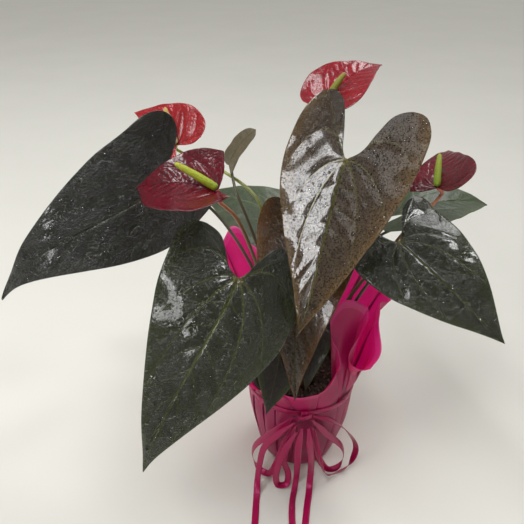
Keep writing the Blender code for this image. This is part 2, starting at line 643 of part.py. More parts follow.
def make_ribbon(name, route):
    """A flat strip along its route, drawn in narrow where the knot grips it."""
    last = len(route) - 1
    is_loop = "loop" in name
    strip = bmesh.new()
    bmesh.ops.create_grid(strip, x_segments=RIBBON_POINTS, y_segments=1, size=0.5)
    for corner in strip.verts:
        share = corner.co.x + 0.5
        middle, across = ribbon_frame(route, share * last)
        grip = min(share, 1 - share) if is_loop else share
        widening = (1 - GRIP_WIDTH_SHARE) * grip / GRIP_RUN_SHARE
        width = RIBBON_WIDTH * min(GRIP_WIDTH_SHARE + widening, 1.0)
        corner.co = Vector(middle) + across * (math.copysign(width / 2, corner.co.y))
    mesh = bpy.data.meshes.new(name)
    strip.to_mesh(mesh)
    strip.free()
    part = add_part(name, mesh, SATIN_MAGENTA)
    solidify(part, RIBBON_THICKNESS, 0)


def build():
    make_pot()
    make_soil()
    make_crown()
    make_wrap()
    make_band()
    make_knot()
    for name, route in RIBBON_ROUTES.items():
        make_ribbon(name, route)
    for name, leaf in LEAVES.items():
        make_blade(name, leaf, LEAF_THICKNESS)
        petiole = name.replace("leaf", "petiole")
        make_stem(petiole, leaf, PETIOLE_DIAMETER, LEAF_THICKNESS, STEM_BROWN)
    for name, flower in FLOWERS.items():
        make_blade(name.replace("flower", "spathe"), flower, SPATHE_THICKNESS)
        make_spadix(name.replace("flower", "spadix"), flower)
        peduncle = name.replace("flower", "peduncle")
        make_stem(peduncle, flower, PEDUNCLE_DIAMETER, SPATHE_THICKNESS, STEM_GREEN)


clear_scene()
PARTS = make_collection("potted_anthurium")
CUTTERS = make_collection("cutters")
build()
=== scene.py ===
"""Potted anthurium in a film-wrapped pot with a satin bow: the looks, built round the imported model.

Metres, +Z up, the bow faces -Y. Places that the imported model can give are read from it; the shapes of
the blades, stems and ribbons repeat the design's own named values, drawn more finely and with their
veins, drops, tucks and finishes.
"""

import math

import bpy
import numpy as np
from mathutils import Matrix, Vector


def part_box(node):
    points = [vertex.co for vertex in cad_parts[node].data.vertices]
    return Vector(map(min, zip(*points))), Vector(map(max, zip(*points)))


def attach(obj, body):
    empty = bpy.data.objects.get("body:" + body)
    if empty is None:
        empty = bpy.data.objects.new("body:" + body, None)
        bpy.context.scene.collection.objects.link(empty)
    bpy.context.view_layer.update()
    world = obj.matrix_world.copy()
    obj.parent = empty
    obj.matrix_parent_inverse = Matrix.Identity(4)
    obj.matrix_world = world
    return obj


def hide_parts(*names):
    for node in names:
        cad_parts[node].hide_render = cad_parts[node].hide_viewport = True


bl_info = {
    "name": "Potted anthurium",
    "version": (1, 0, 0),
    "blender": (4, 5, 0),
    "location": "3D View > Sidebar > Anthurium",
    "description": "Builds a wet, dark-leaved anthurium in a wrapped pot tied with a satin bow",
    "category": "Add Mesh",
}

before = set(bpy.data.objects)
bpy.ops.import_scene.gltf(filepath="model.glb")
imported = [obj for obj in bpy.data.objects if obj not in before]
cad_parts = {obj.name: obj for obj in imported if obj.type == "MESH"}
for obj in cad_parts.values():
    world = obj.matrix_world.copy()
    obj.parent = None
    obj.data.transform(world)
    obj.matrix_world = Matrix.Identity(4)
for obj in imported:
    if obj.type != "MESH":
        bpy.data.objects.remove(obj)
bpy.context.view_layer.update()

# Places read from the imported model.
SOIL_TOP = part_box("potting_mix")[1][2]
SOIL_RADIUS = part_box("potting_mix")[1][0]
CROWN_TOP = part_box("crown")[1][2]
BAND_LOW, BAND_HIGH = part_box("ribbon_band")
TIE_HEIGHT = (BAND_LOW[2] + BAND_HIGH[2]) / 2
TIE_RADIUS = BAND_HIGH[0] - 0.0011
BASE_RADIUS = 0.0478
KNOT_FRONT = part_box("ribbon_knot")[0][1]

INNER_STEM_RING = 0.0062
OUTER_STEM_RING = 0.0138
ATTACH_RUN = 0.014
STEM_BASE_SWELL = 1.25

LOBE_SHARE = 0.24  # share of a blade's columns that lies in its lobe
WRAP_BODY_SHARE = 0.42  # share of the film's rows below the tie
# Layers of drops, from large to small: spacing, share of places with a drop, height of a full dome.
DROP_LAYERS = ((0.0105, 0.38, 0.0100), (0.0058, 0.66, 0.0060), (0.0034, 0.60, 0.0036))

LEAVES = {
    # junction: where blade meets petiole, from the pot's axis and the top of the mix
    "leaf_left": dict(
        finish="dark", junction=(-0.155, 0.043, 0.244), heading=-156, pitch=-28, roll=63,
        length=0.210, half_width=(0.061, 0.068), lobe=(0.055, 0.050), splay=(0.12, 0.26),
        notch=(0.01, 0.02), taper=(0.15, -0.06), arch=0.16, fold=0.04, cup=-0.23, curl=-0.08,
        twist=51, bend=-0.02, lift=-0.13, base=(OUTER_STEM_RING, 172),
        via=((-0.059, 0.040, 0.138), (-0.111, 0.080, 0.199))),
    "leaf_front": dict(
        finish="green", junction=(-0.071, -0.063, 0.193), heading=-124, pitch=-40, roll=35,
        length=0.194, half_width=(0.074, 0.071), lobe=(0.053, 0.035), splay=(0.03, 0.30),
        notch=(0.02, 0.04), taper=(0.10, 0.02), arch=0.12, fold=-0.03, cup=-0.43, curl=-0.05,
        twist=31, bend=-0.01, lift=0.28, base=(OUTER_STEM_RING, 224),
        via=((-0.052, -0.004, 0.080), (-0.067, -0.026, 0.150))),
    "leaf_tall": dict(
        finish="bronze", junction=(0.038, 0.031, 0.277), heading=-109, pitch=-30, roll=-7,
        length=0.197, half_width=(0.076, 0.062), lobe=(0.054, 0.062), splay=(0.12, 0.05),
        notch=(0.05, 0.02), taper=(0.09, 0.02), arch=-0.08, fold=0.09, cup=0.27, curl=0.03,
        twist=27, bend=-0.03, lift=0.73, base=(INNER_STEM_RING, 20), gloss=(0.10, 1.0),
        via=((0.022, 0.018, 0.110), (0.038, 0.040, 0.210))),
    "leaf_right": dict(
        finish="green", junction=(0.097, -0.003, 0.199), heading=-40, pitch=-29, roll=-28,
        length=0.144, half_width=(0.064, 0.058), lobe=(0.028, 0.036), splay=(0.47, 0.04),
        notch=(0.03, 0.02), taper=(0.26, 0.11), arch=0.05, fold=0.10, cup=-0.43, curl=-0.11,
        twist=9, bend=-0.01, lift=0.49, base=(OUTER_STEM_RING, 352),
        via=((0.044, -0.002, 0.090), (0.079, 0.003, 0.158))),
    "leaf_back_right": dict(
        finish="dull", junction=(0.133, 0.118, 0.170), heading=25, pitch=-7, roll=-7,
        length=0.148, half_width=(0.055, 0.057), lobe=(0.037, 0.046), splay=(0.0, -0.21),
        notch=(0.01, 0.01), taper=(0.04, 0.0), arch=0.10, fold=0.15, cup=-0.15, curl=-0.12,
        twist=30, bend=0.0, lift=-0.33, base=(OUTER_STEM_RING, 47),
        via=((0.040, 0.036, 0.100), (0.092, 0.080, 0.154))),
    "leaf_back": dict(
        finish="dull", junction=(-0.016, 0.169, 0.139), heading=156, pitch=4, roll=17,
        length=0.135, half_width=(0.064, 0.052), lobe=(0.034, 0.034), splay=(0.0, 0.0),
        notch=(0.01, 0.01), taper=(0.22, 0.07), arch=0.08, fold=0.02, cup=-0.41, curl=-0.10,
        twist=-9, bend=0.0, lift=0.0, base=(OUTER_STEM_RING, 97),
        via=((-0.008, 0.060, 0.072), (-0.013, 0.118, 0.100))),
    "leaf_middle": dict(
        finish="brown", junction=(-0.003, 0.021, 0.187), heading=-95, pitch=-53, roll=-25,
        length=0.174, half_width=(0.063, 0.057), lobe=(0.043, 0.050), splay=(0.0, 0.01),
        notch=(0.01, 0.01), taper=(0.0, 0.02), arch=0.06, fold=0.06, cup=-0.30, curl=0.05,
        twist=21, bend=0.02, lift=0.27, base=(INNER_STEM_RING, 200),
        via=((-0.009, 0.018, 0.080), (-0.005, 0.038, 0.145))),
    "leaf_low": dict(
        finish="purple", junction=(-0.027, -0.032, 0.097), heading=-108, pitch=-53, roll=9,
        length=0.089, half_width=(0.037, 0.035), lobe=(0.022, 0.022), splay=(0.0, 0.0),
        notch=(0.01, 0.01), taper=(0.09, 0.04), arch=0.06, fold=0.12, cup=0.04, curl=0.0,
        twist=-2, bend=0.03, lift=0.0, base=(OUTER_STEM_RING, 252),
        via=((-0.020, -0.021, 0.055),)),
    "leaf_small": dict(
        finish="purple", junction=(0.012, -0.010, 0.085), heading=-102, pitch=-39, roll=12,
        length=0.070, half_width=(0.024, 0.024), lobe=(0.019, 0.019), splay=(0.0, 0.0),
        notch=(0.01, 0.01), taper=(0.02, 0.01), arch=0.05, fold=0.10, cup=0.0, curl=0.0,
        twist=1, bend=0.0, lift=0.0, base=(INNER_STEM_RING, 290),
        via=((0.009, 0.000, 0.050),)),
    "leaf_young": dict(
        finish="taupe", junction=(-0.087, 0.108, 0.240), heading=-22, pitch=54, roll=-59,
        length=0.059, half_width=(0.0135, 0.0125), lobe=(0.003, 0.003), splay=(0.0, 0.0),
        notch=(0.01, 0.01), blunt=0.85, taper=(0.30, 0.25), arch=0.06, fold=0.14, cup=0.03,
        curl=-0.01,
        twist=7, bend=0.04, lift=0.0, base=(OUTER_STEM_RING, 147),
        via=((-0.048, 0.058, 0.140), (-0.065, 0.076, 0.183), (-0.079, 0.094, 0.212)), lean=55),
}

FLOWERS = {
    "flower_back_left": dict(
        finish="red", junction=(-0.156, 0.153, 0.249), heading=136, pitch=15, roll=31,
        length=0.088, half_width=(0.039, 0.049), lobe=(0.022, 0.020), splay=(0.0, 0.25),
        notch=(0.01, 0.02), taper=(-0.12, 0.03), arch=0.07, fold=0.18, cup=0.06, curl=-0.03,
        twist=-4, bend=-0.08, lift=0.16, base=(OUTER_STEM_RING, 122),
        via=((-0.050, 0.089, 0.196), (-0.089, 0.120, 0.223)), spadix=(-0.012, 0.015, 0.043)),
    "flower_left": dict(
        finish="wine", junction=(-0.091, -0.018, 0.266), heading=157, pitch=-9, roll=31,
        length=0.095, half_width=(0.057, 0.034), lobe=(0.028, 0.003), splay=(0.05, -0.10),
        notch=(0.01, 0.01), taper=(0.18, 0.06), arch=0.13, fold=0.42, cup=0.41, curl=-0.02,
        twist=-18, bend=0.01, lift=1.2, base=(OUTER_STEM_RING, 198),
        via=((-0.042, 0.020, 0.110), (-0.058, 0.026, 0.165), (-0.075, 0.011, 0.220)),
        spadix=(-0.039, 0.002, 0.026)),
    "flower_top": dict(
        finish="crimson", junction=(0.029, 0.113, 0.321), heading=36, pitch=16, roll=-5,
        length=0.081, half_width=(0.038, 0.044), lobe=(0.025, 0.023), splay=(-0.09, -0.03),
        notch=(0.01, 0.01), taper=(0.14, 0.06), arch=0.11, fold=0.21, cup=0.07, curl=0.12,
        twist=5, bend=0.0, lift=-0.04, base=(INNER_STEM_RING, 110),
        via=((0.006, 0.052, 0.140), (0.020, 0.095, 0.260)), spadix=(0.014, 0.000, 0.024)),
    "flower_right": dict(
        finish="wine", junction=(0.151, 0.067, 0.230), heading=67, pitch=11, roll=21,
        length=0.082, half_width=(0.031, 0.046), lobe=(0.003, 0.015), splay=(0.0, -0.02),
        notch=(0.01, 0.02), taper=(0.04, 0.0), arch=0.10, fold=0.16, cup=0.05, curl=-0.18,
        twist=14, bend=0.01, lift=-0.09, base=(OUTER_STEM_RING, 22),
        via=((0.055, 0.028, 0.100), (0.107, 0.052, 0.163), (0.119, 0.055, 0.180)),
        spadix=(0.004, 0.024, 0.031)),
}

# Ribbon routes. Each point: place, then the turn of the ribbon's face about its run, in degrees.
RIBBON_ROUTES = {
    "ribbon_loop_right_inner": (
        ((0.0085, -0.0745, 0.114), 0), ((0.028, -0.067, 0.082), 20), ((0.050, -0.055, 0.045), 30),
        ((0.055, -0.052, 0.022), 30), ((0.048, -0.060, 0.012), 20), ((0.034, -0.068, 0.018), 10),
        ((0.022, -0.073, 0.042), 10), ((0.014, -0.077, 0.080), 10), ((0.0080, -0.0780, 0.107), 10)),
    "ribbon_loop_right_outer": (
        ((0.0095, -0.0740, 0.1200), 60), ((0.036, -0.062, 0.098), 75), ((0.060, -0.050, 0.060), 85),
        ((0.071, -0.046, 0.028), 85), ((0.062, -0.056, 0.009), 85), ((0.045, -0.066, 0.0075), 85),
        ((0.030, -0.076, 0.020), 80), ((0.022, -0.082, 0.050), 70),
        ((0.0115, -0.0820, 0.1060), 50)),
    "ribbon_loop_left_outer": (
        ((-0.0120, -0.0735, 0.1170), -10), ((-0.036, -0.067, 0.083), -20),
        ((-0.056, -0.056, 0.048), -30), ((-0.060, -0.054, 0.026), -30),
        ((-0.052, -0.062, 0.011), -20), ((-0.040, -0.070, 0.012), -10),
        ((-0.032, -0.074, 0.032), 0), ((-0.022, -0.0765, 0.074), 0),
        ((-0.0125, -0.0775, 0.1080), 0)),
    "ribbon_loop_left_inner": (
        ((-0.0100, -0.0815, 0.1130), 20), ((-0.018, -0.081, 0.084), 20),
        ((-0.022, -0.080, 0.050), 10), ((-0.016, -0.078, 0.022), 0), ((-0.018, -0.081, 0.0065), 0),
        ((-0.028, -0.083, 0.0075), -10), ((-0.031, -0.084, 0.030), -20),
        ((-0.022, -0.086, 0.075), -10), ((-0.0090, -0.0860, 0.1080), 0)),
    "ribbon_tail_left": (
        ((-0.0120, -0.0820, 0.1180), 0), ((-0.030, -0.080, 0.096), 0), ((-0.045, -0.075, 0.068), 0),
        ((-0.051, -0.074, 0.035), 0), ((-0.0535, -0.0790, 0.0120), 0),
        ((-0.0545, -0.0930, 0.0012), 0), ((-0.0555, -0.113, 0.0008), 0),
        ((-0.0560, -0.140, 0.0008), 0), ((-0.050, -0.165, 0.0008), 0)),
    "ribbon_tail_middle": (
        ((-0.0030, -0.0845, 0.1120), 0), ((-0.0060, -0.086, 0.085), 0),
        ((-0.0060, -0.083, 0.050), 10),
        ((-0.0060, -0.080, 0.020), 25), ((-0.0085, -0.0880, 0.0046), 30),
        ((-0.0110, -0.0990, 0.0028), 30), ((-0.0125, -0.113, 0.0016), 10),
        ((-0.0130, -0.140, 0.0008), 0), ((-0.014, -0.160, 0.0008), 0)),
    "ribbon_tail_right": (
        ((0.0040, -0.0845, 0.1120), 0), ((0.0070, -0.086, 0.085), 0), ((0.0105, -0.080, 0.050), 0),
        ((0.0120, -0.074, 0.020), 0), ((0.0110, -0.0790, 0.0058), 0),
        ((0.0090, -0.0920, 0.0010), 0),
        ((0.0050, -0.113, 0.0008), 0), ((0.0020, -0.140, 0.0008), 0), ((0.008, -0.168, 0.0008), 0)),
}

# The wrap's rim. Each column: azimuth at the tie, place of the rim, how far the film leans out as it
# leaves the tie, and how far it curls out (or in, below zero) as it reaches the rim, in metres.
WRAP_COLUMNS = (
    (262, (-0.0230, -0.073, 0.154), 0.004, 0.006),
    (271, (-0.0020, -0.074, 0.149), 0.004, 0.008),
    (280, (0.0200, -0.067, 0.152), 0.004, 0.010),
    (289, (0.0335, -0.057, 0.163), 0.006, 0.012),
    (296, (0.0385, -0.047, 0.171), 0.008, 0.016),
    (301, (0.0350, -0.038, 0.184), 0.006, 0.012),
    (305, (0.0310, -0.027, 0.197), 0.000, 0.004),
    (308, (0.0290, -0.018, 0.216), -0.006, 0.000),
    (311, (0.0440, -0.011, 0.234), -0.006, 0.004),
    (314, (0.0640, -0.009, 0.229), 0.000, 0.016),
    (318, (0.0725, -0.013, 0.217), 0.010, 0.018),
    (322, (0.0615, -0.026, 0.200), 0.012, 0.004),
    (327, (0.0515, -0.037, 0.183), 0.012, 0.000),
    (332, (0.0525, -0.047, 0.172), 0.014, 0.012),
    (337, (0.0630, -0.050, 0.166), 0.018, 0.020),
    (342, (0.0755, -0.044, 0.164), 0.020, 0.024),
    (347, (0.0845, -0.034, 0.169), 0.022, 0.022),
    (352, (0.0885, -0.020, 0.179), 0.022, 0.016),
    (358, (0.0905, 0.000, 0.197), 0.020, 0.012),
    (5, (0.0915, 0.018, 0.211), 0.018, 0.014),
    (12, (0.1080, 0.028, 0.208), 0.018, 0.026),
    (24, (0.1130, 0.055, 0.228), 0.018, 0.022),
    (38, (0.1050, 0.083, 0.244), 0.018, 0.016),
    (58, (0.0640, 0.098, 0.220), 0.016, 0.014),
    (78, (0.0230, 0.107, 0.204), 0.014, 0.014),
    (98, (-0.0150, 0.108, 0.193), 0.014, 0.012),
    (113, (-0.0560, 0.112, 0.232), 0.016, 0.012),
    (127, (-0.0850, 0.112, 0.262), 0.016, 0.010),
    (142, (-0.0980, 0.085, 0.242), 0.014, 0.012),
    (160, (-0.0990, 0.042, 0.208), 0.012, 0.014),
    (180, (-0.0960, 0.002, 0.184), 0.010, 0.014),
    (200, (-0.0870, -0.031, 0.168), 0.008, 0.012),
    (218, (-0.0700, -0.054, 0.156), 0.006, 0.010),
    (235, (-0.0440, -0.066, 0.149), 0.004, 0.008),
    (249, (-0.0290, -0.071, 0.149), 0.004, 0.006),
)


class LeafSettings(bpy.types.PropertyGroup):
    """Sizes and colours of the leaves."""

    grain: bpy.props.FloatProperty(
        name="Mesh grain", description="Spacing of the blade's mesh", default=0.0017, unit="LENGTH")
    thickness: bpy.props.FloatProperty(
        name="Thickness", description="Thickness of a blade", default=0.0006, unit="LENGTH")
    vein_depth: bpy.props.FloatProperty(
        name="Vein depth", description="How deep the veins are sunk", default=0.0007, unit="LENGTH")
    pillow: bpy.props.FloatProperty(
        name="Pillow", description="Rise of the skin between veins", default=0.0006, unit="LENGTH")
    drop_radius: bpy.props.FloatProperty(
        name="Largest drop", description="Radius of the largest drop", default=0.0023,
        unit="LENGTH")
    vein_colour: bpy.props.FloatVectorProperty(
        name="Vein colour", description="Colour of the main veins", subtype="COLOR", size=3,
        default=(0.21, 0.235, 0.035))
    petiole_diameter: bpy.props.FloatProperty(
        name="Petiole", description="Diameter of a leaf stalk", default=0.0036, unit="LENGTH")


class FlowerSettings(bpy.types.PropertyGroup):
    """Sizes and colours of the flowers."""

    grain: bpy.props.FloatProperty(
        name="Mesh grain", description="Spacing of the spathe's mesh", default=0.0011,
        unit="LENGTH")
    thickness: bpy.props.FloatProperty(
        name="Thickness", description="Thickness of a spathe", default=0.0008, unit="LENGTH")
    vein_depth: bpy.props.FloatProperty(
        name="Vein depth", description="How deep the veins are sunk", default=0.0016, unit="LENGTH")
    pillow: bpy.props.FloatProperty(
        name="Pillow", description="Rise of the skin between veins", default=0.0014, unit="LENGTH")
    spadix_diameter: bpy.props.FloatProperty(
        name="Spadix", description="Diameter of a spadix", default=0.0082, unit="LENGTH")
    spadix_colour: bpy.props.FloatVectorProperty(
        name="Spadix colour", description="Colour of a ripe spadix", subtype="COLOR", size=3,
        default=(0.52, 0.60, 0.03))
    peduncle_diameter: bpy.props.FloatProperty(
        name="Peduncle", description="Diameter of a flower stalk", default=0.0038, unit="LENGTH")


class WrapSettings(bpy.types.PropertyGroup):
    """Sizes and colour of the film wrap."""

    cut: bpy.props.FloatProperty(
        name="Sheet side", description="Side of the square sheet", default=0.42, unit="LENGTH")
    thickness: bpy.props.FloatProperty(
        name="Thickness", description="Thickness of the film as drawn", default=0.0004,
        unit="LENGTH")
    tucks: bpy.props.IntProperty(name="Tucks", description="Tucks round the tie", default=18)
    layer_gap: bpy.props.FloatProperty(
        name="Layer gap", description="Depth from one layer of a tuck to the next",
        default=0.0009, unit="LENGTH")
    tuck_width: bpy.props.FloatProperty(
        name="Tuck width", description="How far a tuck folds over itself", default=0.0072,
        unit="LENGTH")
    crumple: bpy.props.FloatProperty(
        name="Crumple", description="Height of the film's uneven folds", default=0.0011,
        unit="LENGTH")
    bulge: bpy.props.FloatProperty(
        name="Bulge", description="How far the film stands off the pot between base and tie",
        default=0.0028, unit="LENGTH")
    border: bpy.props.FloatProperty(
        name="Border", description="Width of the paler border", default=0.0095, unit="LENGTH")
    colour: bpy.props.FloatVectorProperty(
        name="Colour", description="Colour of the film", subtype="COLOR", size=3,
        default=(0.56, 0.008, 0.095))


class RibbonSettings(bpy.types.PropertyGroup):
    """Sizes and colour of the ribbon."""

    width: bpy.props.FloatProperty(
        name="Width", description="Width of the ribbon", default=0.008, unit="LENGTH")
    thickness: bpy.props.FloatProperty(
        name="Thickness", description="Thickness of the ribbon", default=0.0004, unit="LENGTH")
    colour: bpy.props.FloatVectorProperty(
        name="Colour", description="Colour of the satin", subtype="COLOR", size=3,
        default=(0.40, 0.004, 0.075))


class StageSettings(bpy.types.PropertyGroup):
    """Floor, light and camera."""

    floor_colour: bpy.props.FloatVectorProperty(
        name="Floor", description="Colour of the floor", subtype="COLOR", size=3,
        default=(0.68, 0.67, 0.62))
    top_power: bpy.props.FloatProperty(
        name="Overhead light", description="Power of the overhead softbox in watts", default=46.0)
    side_power: bpy.props.FloatProperty(
        name="Side light", description="Power of the left softbox in watts", default=10.0)
    even_light: bpy.props.FloatProperty(
        name="Even light", description="Strength of the even light from above", default=1.15)
    fill: bpy.props.FloatProperty(
        name="Fill", description="Strength of the light from all round", default=0.30)
    lens: bpy.props.FloatProperty(
        name="Lens", description="Focal length in millimetres on a 36 mm sensor", default=36.07)
    camera_height: bpy.props.FloatProperty(
        name="Camera height", description="Height of the camera", default=0.585, unit="LENGTH")
    camera_pitch: bpy.props.FloatProperty(
        name="Camera pitch", description="How far the camera looks down",
        default=math.radians(32.4), subtype="ANGLE")


# Curves and blades -----------------------------------------------------------------------------


def on_curve(points, places):
    """Places of the smooth (Catmull-Rom) curve through points; places count in points."""
    points = np.asarray(points, float)
    places = np.asarray(places, float)
    last = len(points) - 1
    first = np.clip(np.floor(places).astype(int), 0, last - 1)
    share = (places - first)[..., None]
    padded = np.vstack((2 * points[0] - points[1], points, 2 * points[-1] - points[-2]))
    before, start, end, after = (padded[first + step] for step in range(4))
    return 0.5 * (2 * start + (end - before) * share
                  + (2 * before - 5 * start + 4 * end - after) * share ** 2
                  + (3 * start - before - 3 * end + after) * share ** 3)


def on_route(points, places):
    """Places of a smooth curve through unevenly spaced points, without swinging past them."""
    points = np.asarray(points, float)
    places = np.asarray(places, float)
    last = len(points) - 1
    spans = np.linalg.norm(np.diff(points, axis=0), axis=1)
    low = np.maximum(np.arange(last + 1) - 1, 0)
    high = np.minimum(np.arange(last + 1) + 1, last)
    reach = np.concatenate(([0], np.cumsum(spans)))
    slopes = (points[high] - points[low]) / (reach[high] - reach[low])[:, None]
    first = np.clip(np.floor(places).astype(int), 0, last - 1)
    share = (places - first)[..., None]
    span = spans[first][..., None]
    square, cube = share ** 2, share ** 3
    return (points[first] * (2 * cube - 3 * square + 1)
            + slopes[first] * span * (cube - 2 * square + share)
            + points[first + 1] * (3 * square - 2 * cube)
            + slopes[first + 1] * span * (cube - square))


def polar(radius, degrees, height):
    turn = math.radians(degrees)
    return np.array((radius * math.cos(turn), radius * math.sin(turn), height))


REAR, SHOULDER, TIP = 4, 6.6, 13  # places on the half outline
WIDEST = 0.37  # half-width of the pattern outline, as a share of its length


def half_outline(blade, side):
    """Edge of one half, junction to tip, in blade lengths: along the midrib, then across it."""
    lobe = blade["lobe"][side] / blade["length"]
    widen = blade["half_width"][side] / blade["length"] / WIDEST
    notch = blade["notch"][side] / widen
    pattern = (
        (0.0, 0.0), (-0.18 * lobe, 0.012 + notch), (-0.56 * lobe, 0.055 + 0.7 * notch),
        (-0.90 * lobe, 0.125), (-lobe, 0.205), (-0.88 * lobe, 0.285), (-0.52 * lobe, 0.345),
        (0.0, WIDEST), (0.18, 0.345), (0.38, 0.272), (0.58, 0.185), (0.78, 0.095),
        (0.92, 0.032), (1.0, 0.0))
    outline = []
    for along, across in pattern:
        across = across * widen + blade["splay"][side] * max(-along, 0.0)
        if along > 0:
            across *= 1 + blade["taper"][side] * 6.75 * along * along * (1 - along)
            across = max(across, widen * WIDEST * blade.get("blunt", 0) * math.sqrt(
                max(1 - (2 * along - 1) ** 2, 0)))
        outline.append((along, across))
    return np.array(outline)


def across_half(outline, share, out, lobe_share):
    """Places on half of the flat blade: share runs lobe to tip, out from inner edge to margin."""
    in_lobe = np.clip(share / lobe_share, 0, 1)
    ahead = np.clip((share - lobe_share) / (1 - lobe_share), 0, 1)
    outer = on_curve(outline, np.where(
        share < lobe_share, REAR + (SHOULDER - REAR) * in_lobe,
        SHOULDER + (TIP - SHOULDER) * ahead))
    sinus = on_curve(outline, REAR * (1 - in_lobe))
    midrib = np.stack((ahead ** 1.2, np.zeros_like(ahead)), axis=-1)
    inner = np.where((share < lobe_share)[:, None], sinus, midrib)
    return inner + (outer - inner) * out[:, None]


def raise_blade(blade, along, across, relief=0.0):
    """Bends the flat blade: arch along, fold and cup across, twist and sideways bend."""
    inside = np.maximum(along, 0)
    behind = np.minimum(along, 0)
    height = blade["arch"] * 4 * (inside - inside ** 2 + behind / (1 - 3 * behind))
    height = height + blade["lift"] * behind ** 2
    height = height + blade["fold"] * (np.sqrt(across ** 2 + 0.0009) - 0.03)
    height = height + blade["cup"] * across ** 2 + blade["curl"] * across * np.abs(across) + relief
    across = across + blade["bend"] * 4 * np.where(along < 0, along, inside - inside ** 2)
    turn = math.radians(blade["twist"]) * (along - 0.3)
    return np.stack((
        along,
        across * np.cos(turn) - height * np.sin(turn),
        across * np.sin(turn) + height * np.cos(turn)), axis=-1)


def blade_axes(blade):
    """Directions along the midrib, to the left and up, for a blade's heading, pitch and roll."""
    heading, pitch = math.radians(blade["heading"]), math.radians(blade["pitch"])
    along = Vector((math.cos(heading) * math.cos(pitch), math.sin(heading) * math.cos(pitch),
                    math.sin(pitch)))
    level_up = (Vector((0, 0, 1)) - along * along.z).normalized()
    level_left = level_up.cross(along)
    roll = math.radians(blade["roll"])
    left = level_left * math.cos(roll) - level_up * math.sin(roll)
    up = level_up * math.cos(roll) + level_left * math.sin(roll)
    return np.array((along, left, up))


def junction_place(blade):
    return np.array(blade["junction"]) + (0, 0, SOIL_TOP)


def blade_place(blade, along, across, relief=0.0):
    flat = raise_blade(blade, np.asarray(along, float), np.asarray(across, float), relief)
    return junction_place(blade) + blade["length"] * flat @ blade_axes(blade)


def junction_normal(blade):
    """Unit normal of the blade's upper face where the stem meets it."""
    step = 0.01
    along = blade_place(blade, step, 0) - blade_place(blade, -step, 0)
    across = blade_place(blade, 0, step) - blade_place(blade, 0, -step)
    normal = np.cross(along, across)
    return normal / np.linalg.norm(normal)


def bezier(start, control, end, count=18):
    share = np.linspace(0, 1, count)[:, None]
    start, control, end = np.array(start), np.array(control), np.array(end)
    return start * (1 - share) ** 2 + control * 2 * share * (1 - share) + end * share ** 2


def vein_paths(outline):
    """Main veins of one half in blade lengths: each its path, its width at the root, its weight."""
    def rim(place, inset):
        return on_curve(outline, np.array(place)) * (1, inset)

    paths = [(np.array(((0.0, 0.0), (0.97, 0.0))), 0.0085, 1.0)]
    first, second, third, fourth = rim(10.2, 0.86), rim(8.7, 0.88), rim(7.3, 0.90), rim(4.6, 0.93)
    start = (0.0, 0.0)
    paths.append((bezier(start, (first[0] * 0.28, first[1] * 1.05), first), 0.0070, 0.60))
    paths.append((bezier(start, (second[0] * 0.05, second[1] * 0.62), second), 0.0065, 0.60))
    paths.append((bezier(start, (fourth[0] * 0.95, third[1] * 0.60), third), 0.0058, 0.60))
    paths.append((bezier(start, (fourth[0] * 0.45, fourth[1] * 0.40), fourth), 0.0050, 0.60))
    ahead = outline[7:]
    for root in (0.13, 0.25, 0.37, 0.49, 0.61, 0.73):
        reach = root + 0.19
        edge = np.interp(reach, ahead[:, 0], ahead[:, 1]) * 0.88
        paths.append((bezier((root, 0), (root + 0.07, edge * 0.55), (reach, edge)), 0.0046, 0.30))
    return paths


def distance_to_path(places, path):
    """Shortest distance from each place to a path, and how far along the path that is."""
    best = np.full(len(places), 9.0)
    share = np.zeros(len(places))
    for index, (start, end) in enumerate(zip(path[:-1], path[1:])):
        run = end - start
        step = np.clip(((places - start) @ run) / (run @ run), 0, 1)
        gap = np.linalg.norm(places - start - step[:, None] * run, axis=1)
        nearer = gap < best
        best = np.where(nearer, gap, best)
        share = np.where(nearer, (index + step) / (len(path) - 1), share)
    return best, share


def vein_map(outline, places):
    """How strong a vein each place is on, from 0 to 1, and its distance to the nearest vein."""
    strength = np.zeros(len(places))
    nearest = np.full(len(places), 9.0)
    for path, width, weight in vein_paths(outline):
        gap, share = distance_to_path(places, path)
        width = width * (1 - 0.62 * share)
        strength = np.maximum(strength, weight * np.exp(-(gap / width) ** 2) * (1 - 0.45 * share))
        nearest = np.minimum(nearest, gap)
    return strength, nearest


# Mesh helpers ------------------------------------------------------------------------------------


def deselect():
    if bpy.context.object and bpy.context.object.mode != "OBJECT":
        bpy.ops.object.mode_set(mode="OBJECT")
    bpy.ops.object.select_all(action="DESELECT")


def activate(piece):
    deselect()
    piece.select_set(True)
    bpy.context.view_layer.objects.active = piece


def add_grid(name, columns, rows, place):
    """A grid primitive whose points are moved to place(u, v), with u and v from 0 to 1."""
    deselect()
    bpy.ops.mesh.primitive_grid_add(x_subdivisions=columns, y_subdivisions=rows, size=1)
    piece = bpy.context.object
    piece.name = name
    points = get_points(piece)
    set_points(piece, place(points[:, 0] + 0.5, points[:, 1] + 0.5))
    return piece


def get_points(piece):
    points = np.empty(len(piece.data.vertices) * 3)
    piece.data.vertices.foreach_get("co", points)
    return points.reshape(-1, 3)


def set_points(piece, points):
    piece.data.vertices.foreach_set("co", np.asarray(points, float).ravel())
    piece.data.update()


def set_attribute(piece, name, values):
    """A number at every point of the mesh, for a material to read."""
    attribute = piece.data.attributes.new(name, "FLOAT", "POINT")
    attribute.data.foreach_set("value", np.asarray(values, float).ravel())


def blade_seed(blade, side):
    """A number of its own for each half of each blade, so that no two ripple alike."""
    return blade["heading"] * 0.37 + side * 1.7


def set_flat_places(piece, places):
    """The blade's own flat coordinates in metres, so that drops lie on it as on a sheet."""
    attribute = piece.data.attributes.new("flat", "FLOAT_VECTOR", "POINT")
    attribute.data.foreach_set("vector", np.asarray(places, float).ravel())


